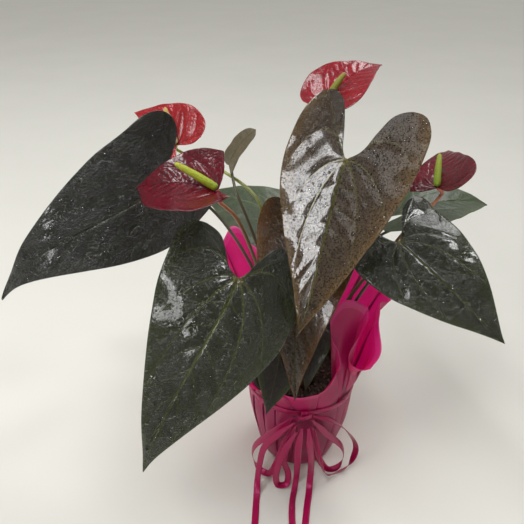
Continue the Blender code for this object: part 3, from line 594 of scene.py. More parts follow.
def merge(piece, distance=0.00002, outward=False):
    activate(piece)
    bpy.ops.object.mode_set(mode="EDIT")
    bpy.ops.mesh.select_all(action="SELECT")
    bpy.ops.mesh.remove_doubles(threshold=distance)
    bpy.ops.mesh.dissolve_degenerate(threshold=distance / 4)
    if outward:
        bpy.ops.mesh.normals_make_consistent(inside=False)
    bpy.ops.object.mode_set(mode="OBJECT")


def join(pieces, name):
    deselect()
    for piece in pieces:
        piece.select_set(True)
    bpy.context.view_layer.objects.active = pieces[0]
    bpy.ops.object.join()
    pieces[0].name = name
    return pieces[0]


def thicken(piece, thickness, under=False):
    """Gives a sheet its thickness; with under, its lower face and rim take the second material."""
    activate(piece)
    wall = piece.modifiers.new("Thickness", "SOLIDIFY")
    wall.thickness = thickness
    wall.offset = 0
    if under:
        wall.material_offset = 1
        wall.material_offset_rim = 1
    bpy.ops.object.modifier_apply(modifier=wall.name)


def finish_piece(piece, materials, nodes=()):
    """Smooth shading, materials, and what the piece rides on and replaces."""
    activate(piece)
    if nodes:
        piece.name = nodes[0] + "_look"
    bpy.ops.object.shade_smooth()
    if not piece.data.materials:
        for material in materials:
            piece.data.materials.append(material)
    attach(piece, "root")
    if nodes:
        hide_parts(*nodes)
    return piece


def add_tube(name, points, radii, sides):
    """A round rod along points, closed to a point at both ends, with its run as an attribute."""
    points = np.asarray(points, float)
    radii = np.asarray(radii, float)
    steps = np.gradient(points, axis=0)
    steps /= np.linalg.norm(steps, axis=1)[:, None]
    side = Vector(steps[0]).orthogonal().normalized()
    sides_at = []
    for step in steps:
        step = Vector(step)
        side = (side - step * side.dot(step)).normalized()
        sides_at.append(side.copy())
    first = np.array(sides_at)
    second = np.cross(steps, first)
    count = len(points)

    def place(along, round_it):
        index = np.clip(np.round(along * (count - 1)).astype(int), 0, count - 1)
        turn = round_it * 2 * math.pi
        radius = radii[index][:, None]
        return points[index] + radius * (np.cos(turn)[:, None] * first[index]
                                         + np.sin(turn)[:, None] * second[index])

    tube = add_grid(name, count - 1, sides, place)
    shares = np.linspace(0, 1, count)
    runs = np.tile(shares, sides + 1)
    set_attribute(tube, "run", runs)
    merge(tube, 0.000004, outward=True)
    return tube


# Materials ---------------------------------------------------------------------------------------


def add_node(tree, kind, values=None, **inputs):
    """A node with its settings in values and its sockets' constants or links in inputs."""
    made = tree.nodes.new(kind)
    for key, value in (values or {}).items():
        setattr(made, key, value)
    for key, value in inputs.items():
        socket = made.inputs[key.replace("_", " ")]
        if isinstance(value, bpy.types.NodeSocket):
            tree.links.new(value, socket)
        else:
            socket.default_value = value
    return made


def stored(tree, name, kind="Fac"):
    """A value stored at the points of the mesh."""
    return add_node(tree, "ShaderNodeAttribute", {"attribute_name": name}).outputs[kind]


def math_node(tree, operation, first, second=0.0, clamp=False):
    made = tree.nodes.new("ShaderNodeMath")
    made.operation = operation
    made.use_clamp = clamp
    for socket, value in zip(made.inputs, (first, second)):
        if isinstance(value, bpy.types.NodeSocket):
            tree.links.new(value, socket)
        else:
            socket.default_value = value
    return made.outputs[0]


def mix_colour(tree, share, first, second, blend="MIX"):
    made = tree.nodes.new("ShaderNodeMix")
    made.data_type = "RGBA"
    made.blend_type = blend
    for socket, value in ((made.inputs[0], share), (made.inputs[6], first),
                          (made.inputs[7], second)):
        if isinstance(value, bpy.types.NodeSocket):
            tree.links.new(value, socket)
        elif isinstance(value, (int, float)):
            socket.default_value = value
        else:
            socket.default_value = (*value[:3], 1.0)
    return made.outputs[2]


def ramp(tree, value, *stops):
    """A smooth colour ramp from stops of (place, colour)."""
    made = tree.nodes.new("ShaderNodeValToRGB")
    band = made.color_ramp
    while len(band.elements) > 1:
        band.elements.remove(band.elements[-1])
    band.elements[0].position = stops[0][0]
    band.elements[0].color = (*stops[0][1], 1.0)
    for place, colour in stops[1:]:
        band.elements.new(place).color = (*colour, 1.0)
    tree.links.new(value, made.inputs[0])
    return made.outputs[0]


def new_material(name):
    material = bpy.data.materials.new(name)
    material.use_nodes = True
    tree = material.node_tree
    return material, tree, tree.nodes["Principled BSDF"]


def new_group(name, inputs, outputs):
    """An empty shader node group with named sockets; each input is (name, kind, default)."""
    group = bpy.data.node_groups.new(name, "ShaderNodeTree")
    for label, kind, default in inputs:
        socket = group.interface.new_socket(label, in_out="INPUT", socket_type=kind)
        if default is not None:
            socket.default_value = default
    for label, kind in outputs:
        group.interface.new_socket(label, in_out="OUTPUT", socket_type=kind)
    return group, group.nodes.new("NodeGroupInput"), group.nodes.new("NodeGroupOutput")


def use_group(tree, group, **inputs):
    made = tree.nodes.new("ShaderNodeGroup")
    made.node_tree = group
    for key, value in inputs.items():
        socket = made.inputs[key.replace("_", " ")]
        if isinstance(value, bpy.types.NodeSocket):
            tree.links.new(value, socket)
        else:
            socket.default_value = value
    return made


def drops_group():
    """Round beads of water: their height from 0 to 1, and a mask that is 1 under a bead."""
    group, given, result = new_group(
        "Water drops",
        (("Vector", "NodeSocketVector", None), ("Spacing", "NodeSocketFloat", 0.003),
         ("Share", "NodeSocketFloat", 0.5)),
        (("Height", "NodeSocketFloat"), ("Mask", "NodeSocketFloat")))
    scale = math_node(group, "DIVIDE", 1.0, given.outputs["Spacing"])
    cells = add_node(group, "ShaderNodeTexVoronoi", {"voronoi_dimensions": "2D"},
                     Vector=given.outputs["Vector"], Scale=scale, Randomness=0.80)
    colour = add_node(group, "ShaderNodeSeparateColor", Color=cells.outputs["Color"])
    present = math_node(group, "LESS_THAN", colour.outputs[0], given.outputs["Share"])
    radius = math_node(group, "MULTIPLY_ADD", colour.outputs[1], 0.20)
    radius.node.inputs[2].default_value = 0.22
    inside = math_node(group, "DIVIDE", cells.outputs["Distance"], radius)
    dome = math_node(group, "SUBTRACT", 1.0, math_node(group, "MULTIPLY", inside, inside),
                     clamp=True)
    height = math_node(group, "MULTIPLY", math_node(group, "SQRT", dome), radius)
    height = math_node(group, "MULTIPLY", height, present)
    mask = math_node(group, "MULTIPLY", math_node(group, "GREATER_THAN", dome, 0.02), present)
    group.links.new(height, result.inputs["Height"])
    group.links.new(mask, result.inputs["Mask"])
    return group


def pucker_group():
    """The fine net of small veins: height of the quilted skin between them, from 0 to 1."""
    group, given, result = new_group(
        "Puckered skin",
        (("Vector", "NodeSocketVector", None), ("Spacing", "NodeSocketFloat", 0.004),
         ("Waver", "NodeSocketFloat", 0.001)),
        (("Height", "NodeSocketFloat"), ("Net", "NodeSocketFloat")))
    noise_field = add_node(group, "ShaderNodeTexNoise", Vector=given.outputs["Vector"], Scale=260.0,
                           Detail=2.0)
    shift = add_node(group, "ShaderNodeVectorMath", {"operation": "SCALE"},
                     Vector=noise_field.outputs["Color"])
    group.links.new(given.outputs["Waver"], shift.inputs["Scale"])
    moved = add_node(group, "ShaderNodeVectorMath", {"operation": "ADD"})
    group.links.new(given.outputs["Vector"], moved.inputs[0])
    group.links.new(shift.outputs[0], moved.inputs[1])
    scale = math_node(group, "DIVIDE", 1.0, given.outputs["Spacing"])
    edges = add_node(group, "ShaderNodeTexVoronoi", {"feature": "DISTANCE_TO_EDGE"},
                     Vector=moved.outputs[0], Scale=scale)
    spread = add_node(group, "ShaderNodeMapRange", {"interpolation_type": "SMOOTHSTEP"},
                      Value=edges.outputs["Distance"])
    spread.inputs["From Max"].default_value = 0.30
    group.links.new(spread.outputs[0], result.inputs["Height"])
    line = math_node(group, "SUBTRACT", 1.0, spread.outputs[0])
    group.links.new(line, result.inputs["Net"])
    return group


def mottle_group():
    """Slow, uneven variation over a surface, centred on one half."""
    group, given, result = new_group(
        "Mottling",
        (("Vector", "NodeSocketVector", None), ("Size", "NodeSocketFloat", 0.02),
         ("Detail", "NodeSocketFloat", 4.0)),
        (("Value", "NodeSocketFloat"),))
    scale = math_node(group, "DIVIDE", 1.0, given.outputs["Size"])
    field = add_node(group, "ShaderNodeTexNoise", Vector=given.outputs["Vector"], Scale=scale,
                     Detail=given.outputs["Detail"], Roughness=0.6)
    group.links.new(field.outputs["Fac"], result.inputs["Value"])
    return group


GROUPS = {"drops": drops_group(), "pucker": pucker_group(), "mottle": mottle_group()}

# Upper face: dark and light tone, colour towards the tip and margin, share of fine drops, gloss.
LEAF_FINISHES = {
    "dark": dict(deep=(0.0036, 0.0036, 0.0026), light=(0.014, 0.0135, 0.010),
                 rim=(0.022, 0.022, 0.015),
                 under=(0.060, 0.075, 0.045), vein=0.10, wet=0.80, rough=0.24, coat=0.2),
    "green": dict(deep=(0.0030, 0.0044, 0.0010), light=(0.0125, 0.0160, 0.0036),
                  rim=(0.040, 0.055, 0.012),
                  under=(0.080, 0.110, 0.055), vein=0.50, wet=0.90, rough=0.17, coat=0.5),
    "bronze": dict(deep=(0.018, 0.0068, 0.0018), light=(0.052, 0.022, 0.0055),
                   rim=(0.200, 0.105, 0.020),
                   under=(0.120, 0.060, 0.030), vein=0.45, wet=0.90, rough=0.17, coat=1.0),
    "brown": dict(deep=(0.018, 0.0060, 0.0018), light=(0.048, 0.018, 0.0045),
                  rim=(0.190, 0.070, 0.010),
                  under=(0.110, 0.055, 0.025), vein=0.30, wet=0.35, rough=0.27, coat=0.3),
    "purple": dict(deep=(0.010, 0.0040, 0.0060), light=(0.022, 0.012, 0.012),
                   rim=(0.070, 0.110, 0.018),
                   under=(0.070, 0.070, 0.040), vein=0.35, wet=0.20, rough=0.34, coat=0.1),
    "dull": dict(deep=(0.020, 0.035, 0.014), light=(0.044, 0.068, 0.030), rim=(0.085, 0.110, 0.050),
                 under=(0.110, 0.140, 0.085), vein=0.50, wet=0.10, rough=0.46, coat=0.1),
    "taupe": dict(deep=(0.075, 0.056, 0.028), light=(0.170, 0.140, 0.085),
                  rim=(0.130, 0.100, 0.050),
                  under=(0.160, 0.140, 0.080), vein=0.25, wet=0.15, rough=0.42, coat=0.15),
}

SPATHE_FINISHES = {
    "red": dict(deep=(0.240, 0.002, 0.006), light=(0.400, 0.006, 0.012), vein=(0.20, 0.002, 0.006)),
    "crimson": dict(deep=(0.170, 0.0015, 0.008), light=(0.340, 0.004, 0.016),
                    vein=(0.16, 0.002, 0.008)),
    "wine": dict(deep=(0.070, 0.0010, 0.006), light=(0.165, 0.002, 0.014),
                 vein=(0.06, 0.001, 0.006)),
}


def leaf_skin(finish, settings):
    """Waxy upper face: dark mottled green or bronze, paler veins, and beads of water."""
    look = LEAF_FINISHES[finish]
    material, tree, shader = new_material("leaf_" + finish)
    place = tree.nodes.new("ShaderNodeTexCoord").outputs["Object"]
    vein = stored(tree, "vein")
    edge = stored(tree, "edge")
    heart = stored(tree, "heart")
    broad = use_group(tree, GROUPS["mottle"], Vector=place, Size=0.030, Detail=3.0).outputs[0]
    fine = use_group(tree, GROUPS["mottle"], Vector=place, Size=0.0035, Detail=5.0).outputs[0]
    net = use_group(tree, GROUPS["pucker"], Vector=place, Spacing=0.0055, Waver=0.0016)
    flat = stored(tree, "flat", "Vector")
    big, mid, small = (
        use_group(tree, GROUPS["drops"], Vector=flat, Spacing=spacing, Share=look["wet"] * present)
        for spacing, present, _ in DROP_LAYERS)
    big_height, mid_height, small_height = (height for _, _, height in DROP_LAYERS)

    ripple = use_group(tree, GROUPS["mottle"], Vector=place, Size=0.0030, Detail=3.0).outputs[0]
    patches = use_group(tree, GROUPS["mottle"], Vector=place, Size=0.017, Detail=4.0).outputs[0]
    gloss = stored(tree, "gloss")
    wet_film = math_node(tree, "MULTIPLY", math_node(tree, "SUBTRACT", patches, 0.46), 9.0,
                         clamp=True)
    wet_film = math_node(tree, "MULTIPLY", wet_film, look["wet"])

    tone = math_node(tree, "MULTIPLY_ADD", fine, 0.55)
    tree.links.new(math_node(tree, "MULTIPLY", broad, 0.5), tone.node.inputs[2])
    colour = ramp(tree, tone, (0.30, look["deep"]), (0.72, look["light"]))
    rim_mask = math_node(tree, "POWER", edge, 5.0)
    colour = mix_colour(tree, math_node(tree, "MULTIPLY", rim_mask, 0.55), colour, look["rim"])
    net_mask = math_node(tree, "MULTIPLY", net.outputs["Net"], look["vein"] * 0.08)
    colour = mix_colour(tree, net_mask, colour, settings.vein_colour)
    vein_mask = math_node(tree, "MULTIPLY", vein, look["vein"], clamp=True)
    colour = mix_colour(tree, vein_mask, colour, settings.vein_colour)
    colour = mix_colour(tree, math_node(tree, "MULTIPLY", heart, 0.75), colour,
                        (0.16, 0.13, 0.02))
    wet = math_node(tree, "MAXIMUM", mid.outputs["Mask"], big.outputs["Mask"])
    colour = mix_colour(tree, math_node(tree, "MULTIPLY", wet, 0.45), colour, (0.004, 0.004, 0.003))
    tree.links.new(colour, shader.inputs["Base Color"])

    rough = math_node(tree, "MULTIPLY_ADD", fine, 0.16)
    rough.node.inputs[2].default_value = look["rough"] - 0.08
    dry = math_node(tree, "SUBTRACT", 1.0, math_node(tree, "MULTIPLY", wet, 0.85))
    dull_half = math_node(tree, "MULTIPLY", math_node(tree, "SUBTRACT", 1.0, gloss), 0.42)
    rough = math_node(tree, "ADD", rough, dull_half)
    tree.links.new(math_node(tree, "MULTIPLY", rough, dry), shader.inputs["Roughness"])
    coat = math_node(tree, "MULTIPLY", gloss, look["coat"])
    bare = math_node(tree, "SUBTRACT", 1.0, math_node(tree, "MULTIPLY", wet, 0.80))
    tree.links.new(math_node(tree, "MULTIPLY", coat, bare), shader.inputs["Coat Weight"])

    skin = math_node(tree, "MULTIPLY_ADD", net.outputs["Height"], 0.6)
    tree.links.new(math_node(tree, "MULTIPLY", fine, 0.4), skin.node.inputs[2])
    skin_bump = add_node(tree, "ShaderNodeBump", Strength=0.55, Distance=0.0005, Height=skin)
    film = math_node(tree, "MULTIPLY", ripple, wet_film)
    film_bump = add_node(tree, "ShaderNodeBump", Strength=0.85, Distance=0.0026, Height=film,
                         Normal=skin_bump.outputs[0])
    beads = math_node(tree, "MULTIPLY_ADD", big.outputs["Height"], big_height)
    middle = math_node(tree, "MULTIPLY_ADD", mid.outputs["Height"], mid_height)
    tree.links.new(math_node(tree, "MULTIPLY", small.outputs["Height"], small_height),
                   middle.node.inputs[2])
    tree.links.new(middle, beads.node.inputs[2])
    bead_bump = add_node(tree, "ShaderNodeBump", Strength=0.9, Distance=0.9, Height=beads,
                         Normal=film_bump.outputs[0])
    tree.links.new(bead_bump.outputs[0], shader.inputs["Normal"])
    shader.inputs["Coat Roughness"].default_value = 0.07
    return material


def leaf_underside(finish, settings):
    """Paler, duller lower face with raised veins."""
    look = LEAF_FINISHES[finish]
    material, tree, shader = new_material("leaf_under_" + finish)
    place = tree.nodes.new("ShaderNodeTexCoord").outputs["Object"]
    vein = stored(tree, "vein")
    fine = use_group(tree, GROUPS["mottle"], Vector=place, Size=0.006, Detail=4.0).outputs[0]
    net = use_group(tree, GROUPS["pucker"], Vector=place, Spacing=0.0055, Waver=0.0016)
    under = look["under"]
    colour = ramp(tree, fine, (0.30, tuple(c * 0.72 for c in under)), (0.72, under))
    colour = mix_colour(tree, math_node(tree, "MULTIPLY", vein, 0.6), colour, settings.vein_colour)
    tree.links.new(colour, shader.inputs["Base Color"])
    raised = math_node(tree, "SUBTRACT", vein,
                       math_node(tree, "MULTIPLY", net.outputs["Height"], 0.4))
    bump = add_node(tree, "ShaderNodeBump", Strength=0.6, Distance=0.0006, Height=raised)
    tree.links.new(bump.outputs[0], shader.inputs["Normal"])
    shader.inputs["Roughness"].default_value = 0.52
    return material


def spathe_skin(finish):
    """Waxy, quilted bract: deep red between embossed veins, with a scatter of drops."""
    look = SPATHE_FINISHES[finish]
    material, tree, shader = new_material("spathe_" + finish)
    place = tree.nodes.new("ShaderNodeTexCoord").outputs["Object"]
    vein = stored(tree, "vein")
    broad = use_group(tree, GROUPS["mottle"], Vector=place, Size=0.022, Detail=3.0).outputs[0]
    net = use_group(tree, GROUPS["pucker"], Vector=place, Spacing=0.0050, Waver=0.0012)
    flat = stored(tree, "flat", "Vector")
    beads = use_group(tree, GROUPS["drops"], Vector=flat, Spacing=0.0050, Share=0.30)
    tone = math_node(tree, "MULTIPLY_ADD", net.outputs["Height"], 0.35)
    tree.links.new(math_node(tree, "MULTIPLY", broad, 0.75), tone.node.inputs[2])
    colour = ramp(tree, tone, (0.25, look["deep"]), (0.80, look["light"]))
    colour = mix_colour(tree, math_node(tree, "MULTIPLY", vein, 0.55), colour, look["vein"])
    tree.links.new(colour, shader.inputs["Base Color"])
    rough = math_node(tree, "SUBTRACT", 0.22, math_node(tree, "MULTIPLY", beads.outputs["Mask"],
                                                        0.18))
    tree.links.new(rough, shader.inputs["Roughness"])
    quilt = add_node(tree, "ShaderNodeBump", Strength=0.25, Distance=0.0006,
                     Height=net.outputs["Height"])
    drop_bump = add_node(tree, "ShaderNodeBump", Strength=0.8, Distance=0.0040,
                         Height=beads.outputs["Height"], Normal=quilt.outputs[0])
    tree.links.new(drop_bump.outputs[0], shader.inputs["Normal"])
    shader.inputs["Coat Weight"].default_value = 0.20
    shader.inputs["Coat Roughness"].default_value = 0.16
    return material


def spadix_skin(name, stops):
    """Tiny packed florets: a cell bump, coloured from base to tip."""
    material, tree, shader = new_material(name)
    place = tree.nodes.new("ShaderNodeTexCoord").outputs["Object"]
    run = stored(tree, "run")
    cells = add_node(tree, "ShaderNodeTexVoronoi", Vector=place, Scale=820.0, Randomness=0.35)
    colour = ramp(tree, run, *stops)
    dark = math_node(tree, "MULTIPLY", cells.outputs["Distance"], 0.85, clamp=True)
    colour = mix_colour(tree, dark, colour, tuple(c * 0.45 for c in stops[0][1]))
    tree.links.new(colour, shader.inputs["Base Color"])
    height = math_node(tree, "SUBTRACT", 1.0, cells.outputs["Distance"])
    bump = add_node(tree, "ShaderNodeBump", Strength=0.9, Distance=0.0006, Height=height)
    tree.links.new(bump.outputs[0], shader.inputs["Normal"])
    shader.inputs["Roughness"].default_value = 0.50
    return material


def stalk_skin(name, *stops):
    """A smooth stalk coloured along its run, faintly streaked."""
    material, tree, shader = new_material(name)
    place = tree.nodes.new("ShaderNodeTexCoord").outputs["Object"]
    run = stored(tree, "run")
    streaks = use_group(tree, GROUPS["mottle"], Vector=place, Size=0.004, Detail=3.0).outputs[0]
    shade = math_node(tree, "MULTIPLY", math_node(tree, "SUBTRACT", streaks, 0.35), 1.0, clamp=True)
    colour = mix_colour(tree, shade, ramp(tree, run, *stops), (0.02, 0.012, 0.004))
    tree.links.new(colour, shader.inputs["Base Color"])
    bump = add_node(tree, "ShaderNodeBump", Strength=0.25, Distance=0.0003, Height=streaks)
    tree.links.new(bump.outputs[0], shader.inputs["Normal"])
    shader.inputs["Roughness"].default_value = 0.40
    shader.inputs["Coat Weight"].default_value = 0.2
    return material


def film_skin(settings):
    """Matte, slightly see-through film with a paler border along its cut edge, and painted shade in its
    creases.
    """
    material, tree, shader = new_material("film")
    place = tree.nodes.new("ShaderNodeTexCoord").outputs["Object"]
    rim = stored(tree, "rim")
    crease = stored(tree, "crease")
    broad = use_group(tree, GROUPS["mottle"], Vector=place, Size=0.030, Detail=3.0).outputs[0]
    fine = use_group(tree, GROUPS["mottle"], Vector=place, Size=0.0012, Detail=2.0).outputs[0]
    base = tuple(settings.colour)
    colour = ramp(tree, broad, (0.30, tuple(c * 0.72 for c in base)), (0.70, base))
    in_border = math_node(tree, "LESS_THAN", rim, settings.border)
    colour = mix_colour(tree, math_node(tree, "MULTIPLY", in_border, 0.62), colour,
                        (0.62, 0.050, 0.17))
    # Painted shade: the film darkens towards deep crimson where it lies in a crease.
    colour = mix_colour(tree, math_node(tree, "MULTIPLY", crease, 0.22), colour,
                        (0.16, 0.002, 0.03))
    tree.links.new(colour, shader.inputs["Base Color"])
    bump = add_node(tree, "ShaderNodeBump", Strength=0.25, Distance=0.0004,
                    Height=math_node(tree, "ADD", fine, broad))
    tree.links.new(bump.outputs[0], shader.inputs["Normal"])
    shader.inputs["Roughness"].default_value = 0.46
    shader.inputs["Subsurface Weight"].default_value = 0.75
    shader.inputs["Subsurface Radius"].default_value = (1.0, 0.12, 0.35)
    shader.inputs["Subsurface Scale"].default_value = 0.008
    return material


def satin_skin(settings):
    """Woven satin: a fine warp along the ribbon and a soft, stretched shine."""
    material, tree, shader = new_material("satin")
    coords = tree.nodes.new("ShaderNodeTexCoord")
    place = coords.outputs["UV"]
    stretched = add_node(tree, "ShaderNodeMapping", Vector=place)
    stretched.inputs["Scale"].default_value = (3.0, 46.0, 1.0)
    threads = add_node(tree, "ShaderNodeTexNoise", Vector=stretched.outputs[0], Scale=4.0,
                       Detail=3.0)
    base = tuple(settings.colour)
    colour = ramp(tree, threads.outputs["Fac"], (0.30, tuple(c * 0.62 for c in base)), (0.72, base))
    tree.links.new(colour, shader.inputs["Base Color"])
    bump = add_node(tree, "ShaderNodeBump", Strength=0.3, Distance=0.0002,
                    Height=threads.outputs["Fac"])
    tree.links.new(bump.outputs[0], shader.inputs["Normal"])
    shader.inputs["Roughness"].default_value = 0.27
    shader.inputs["Specular Tint"].default_value = (1.0, 0.30, 0.58, 1.0)
    shader.inputs["Specular IOR Level"].default_value = 0.9
    shader.inputs["Anisotropic"].default_value = 0.5
    return material


def water_skin():
    material, _tree, shader = new_material("water")
    shader.inputs["Base Color"].default_value = (1.0, 1.0, 1.0, 1.0)
    shader.inputs["Transmission Weight"].default_value = 1.0
    shader.inputs["Roughness"].default_value = 0.02
    shader.inputs["IOR"].default_value = 1.33
    return material


def soil_skin():
    """Dark, damp peat with paler crumbs."""
    material, tree, shader = new_material("potting_mix")
    place = tree.nodes.new("ShaderNodeTexCoord").outputs["Object"]
    crumbs = add_node(tree, "ShaderNodeTexVoronoi", Vector=place, Scale=420.0)
    broad = use_group(tree, GROUPS["mottle"], Vector=place, Size=0.006, Detail=6.0).outputs[0]
    colour = ramp(tree, broad, (0.30, (0.010, 0.006, 0.004)), (0.75, (0.060, 0.038, 0.022)))
    tree.links.new(colour, shader.inputs["Base Color"])
    bump = add_node(tree, "ShaderNodeBump", Strength=0.9, Distance=0.0012,
                    Height=crumbs.outputs["Distance"])
    tree.links.new(bump.outputs[0], shader.inputs["Normal"])
    shader.inputs["Roughness"].default_value = 0.92
    return material


def pot_skin():
    """Moulded nursery-pot plastic, finely grained."""
    material, tree, shader = new_material("pot_plastic")
    place = tree.nodes.new("ShaderNodeTexCoord").outputs["Object"]
    grain = use_group(tree, GROUPS["mottle"], Vector=place, Size=0.0009, Detail=2.0).outputs[0]
    colour = ramp(tree, grain, (0.30, (0.022, 0.012, 0.009)), (0.70, (0.045, 0.026, 0.019)))
    tree.links.new(colour, shader.inputs["Base Color"])
    bump = add_node(tree, "ShaderNodeBump", Strength=0.3, Distance=0.0002, Height=grain)
    tree.links.new(bump.outputs[0], shader.inputs["Normal"])
    shader.inputs["Roughness"].default_value = 0.55
    return material


# Blades ------------------------------------------------------------------------------------------


def seeded(name):
    """A generator that gives the same numbers for the same piece each time."""
    return np.random.default_rng(sum(ord(letter) * (index + 3) for index,
                                     letter in enumerate(name)))


def blade_relief(blade, outline, places, out, settings, seed):
    """Height over the bent blade of pillows, sunken veins and a wavy margin, in blade lengths."""
    strength, nearest = vein_map(outline, places)
    size = blade["length"]
    shrink = min(size / 0.15, 1.0)
    pillow = settings.pillow * shrink * (1 - np.exp(-(nearest / 0.030) ** 2)) * (1 - out ** 4)
    sunk = settings.vein_depth * shrink * strength
    along, across = places[:, 0], places[:, 1]
    wave = 0.0035 * size * (
        np.sin(along * 19 + seed) + 0.6 * np.sin(along * 33 + across * 9 + seed * 2))
    uneven = 0.0040 * size * np.sin(along * 11 + seed * 3) * np.sin(across * 15 + seed)
    return strength, (pillow - sunk + wave * out ** 4 + uneven) / size


def build_blade(name, blade, settings, materials, node):
    """Both halves as grids on the outline, joined along the midrib and given a thickness."""
    size = blade["length"]
    columns = int(min(max(size * 1.35 / settings.grain, 40), 170))
    rows = int(min(max(max(blade["half_width"]) / settings.grain, 12), 46))
    halves = []
    for side, sign in ((0, 1), (1, -1)):
        outline = half_outline(blade, side)
        seed = blade_seed(blade, side)
        values = {}
        spread = []

        def place(share, out, side=side, outline=outline, sign=sign, seed=seed, values=values,
                  spread=spread):
            flat = across_half(outline, share, out, LOBE_SHARE)
            spread.append(np.column_stack([flat[:, 0] + seed, flat[:, 1] * sign,
                                           np.zeros_like(out)]))
            strength, relief = blade_relief(blade, outline, flat, out, settings, seed)
            values["vein"] = strength
            values["edge"] = out
            values["gloss"] = np.full(len(out), float(blade.get("gloss", (1, 1))[side]))
            values["heart"] = np.exp(-(np.linalg.norm(flat, axis=1) / 0.028) ** 2)
            return blade_place(blade, flat[:, 0], flat[:, 1] * sign, relief)

        half = add_grid(name, columns, rows, place)
        for label, numbers in values.items():
            set_attribute(half, label, numbers)
        set_flat_places(half, spread[-1])
        if side == 1:
            bpy.ops.object.mode_set(mode="EDIT")
            bpy.ops.mesh.select_all(action="SELECT")
            bpy.ops.mesh.flip_normals()
            bpy.ops.object.mode_set(mode="OBJECT")
        halves.append(half)
    piece = join(halves, name)
    merge(piece)
    for material in materials:
        piece.data.materials.append(material)
    thicken(piece, settings.thickness, under=len(materials) > 1)
    return finish_piece(piece, materials, (node,))


def surface_spot(blade, side, share, out, settings):
    """A place and the outward normal on the blade's upper face."""
    outline = half_outline(blade, side)
    sign = 1 if side == 0 else -1
    seed = blade_seed(blade, side)
    step = 0.004

    def at(share, out):
        flat = across_half(outline, np.array([share]), np.array([out]), LOBE_SHARE)
        _, relief = blade_relief(blade, outline, flat, np.array([out]), settings, seed)
        return blade_place(blade, flat[:, 0], flat[:, 1] * sign, relief)[0]

    spot = at(share, out)
    normal = np.cross(at(share + step, out) - spot, at(share, out + step) - spot) * sign
    return spot, normal / np.linalg.norm(normal)


def drop_pattern():
    """One bead of water, a low dome with a few dozen faces, as points and faces."""
    deselect()
    bpy.ops.mesh.primitive_uv_sphere_add(segments=9, ring_count=8, radius=1)
    dome = bpy.context.object
    bpy.ops.object.mode_set(mode="EDIT")
    bpy.ops.mesh.select_all(action="SELECT")
    bpy.ops.mesh.bisect(plane_co=(0, 0, 0.05), plane_no=(0, 0, 1), clear_inner=True, use_fill=True)
    bpy.ops.mesh.select_all(action="SELECT")
    bpy.ops.transform.translate(value=(0, 0, -0.12))
    bpy.ops.transform.resize(value=(1, 1, 0.55), center_override=(0, 0, 0))
    bpy.ops.object.mode_set(mode="OBJECT")
    points = get_points(dome).copy()
    faces = [tuple(face.vertices) for face in dome.data.polygons]
    bpy.data.objects.remove(dome, do_unlink=True)
    return points, faces


def scatter_drops(name, blade, count, settings, material, largest):
    """Beads of water that stand on a blade's upper face."""
    chance = seeded(name)
    pattern, faces = drop_pattern()
    points, all_faces = [], []
    for _ in range(count):
        side = int(chance.random() < 0.5)
        share, out = chance.uniform(0.10, 0.90), chance.uniform(0.06, 0.93)
        spot, normal = surface_spot(blade, side, share, out, settings)
        radius = largest * (0.28 + 0.72 * chance.random() ** 3.0)
        turn = Vector(normal).to_track_quat("Z", "Y").to_matrix()
        stretch = np.array((1.0, 1.0 + 0.35 * chance.random(), 1.0)) * radius
        rise = normal * (settings.thickness / 2)
        start = len(points) * len(pattern)
        points.append((pattern * stretch) @ np.array(turn).T + spot + rise)
        all_faces += [tuple(index + start for index in face) for face in faces]
    mesh = bpy.data.meshes.new(name)
    mesh.from_pydata(np.concatenate(points).tolist(), [], all_faces)
    drops = bpy.data.objects.new(name, mesh)
    bpy.context.scene.collection.objects.link(drops)
    return finish_piece(drops, [material])


# Stalks ------------------------------------------------------------------------------------------


def stalk_route(blade, diameter, thickness):
    """The stalk's route from the crown up to the under side of its blade."""
    normal = junction_normal(blade)
    lean = math.radians(blade.get("lean", 0))
    arrival = normal * math.cos(lean) + blade_axes(blade)[0] * math.sin(lean)
    foot = polar(*blade["base"], CROWN_TOP - 0.002)
    clear = thickness / 2 + diameter / 2 * math.sin(lean)
    end = junction_place(blade) - normal * clear
    route = [foot, foot + (0, 0, 0.012)]
    route += [np.array(place) + (0, 0, SOIL_TOP) for place in blade["via"]]
    return route + [end - arrival * ATTACH_RUN, end]


def build_stalk(name, blade, diameter, thickness, swelling, material):
    route = stalk_route(blade, diameter, thickness)
    last = len(route) - 1
    count = 64
    places = np.linspace(0, last, count)
    points = on_route(route, places)
    share = places / last
    radii = diameter / 2 * (1 + (STEM_BASE_SWELL - 1) * (1 - share) ** 2)
    radii *= 1 + swelling * np.exp(-((share - 0.965) / 0.035) ** 2)
    radii[0] = 0
    radii[-1] = 0
    points = np.vstack((points[:1], points[:-1], points[-1:]))
    radii = np.concatenate(([0], np.maximum(radii[:-1], diameter * 0.4), [0]))
    points[1] = points[0] + (points[2] - points[0]) * 0.02
    points[-2] = points[-1] + (points[-2] - points[-1]) * 0.15
    stalk = add_tube(name, points, radii, 14)
    return finish_piece(stalk, [material], (name,))


def build_spadix(name, blade, diameter, material):
    """A finger that tapers to a round tip, standing on the spathe's upper face."""
    normal = junction_normal(blade)
    run = np.array(blade["spadix"])
    start = junction_place(blade) + normal * (diameter * 0.22)
    end = junction_place(blade) + run
    share = np.concatenate((np.linspace(0.0, 0.90, 30), 0.90 + 0.10 * np.sin(
        np.linspace(0.12, 1.0, 9) * math.pi / 2)))
    body = np.interp(share, (0.0, 0.05, 0.18, 0.55, 0.85, 1.0), (0.62, 0.92, 1.0, 0.90, 0.70, 0.56))
    tip = np.clip((1 - share) / 0.09, 0, 1)
    radii = diameter / 2 * body * np.sqrt(1 - (1 - tip) ** 2)
    radii[0] = 0
    sag = np.sin(share * math.pi)[:, None] * normal * 0.0008
    points = start + (end - start) * share[:, None] + sag
    spadix = add_tube(name, points, radii, 20)
    return finish_piece(spadix, [material], (name,))


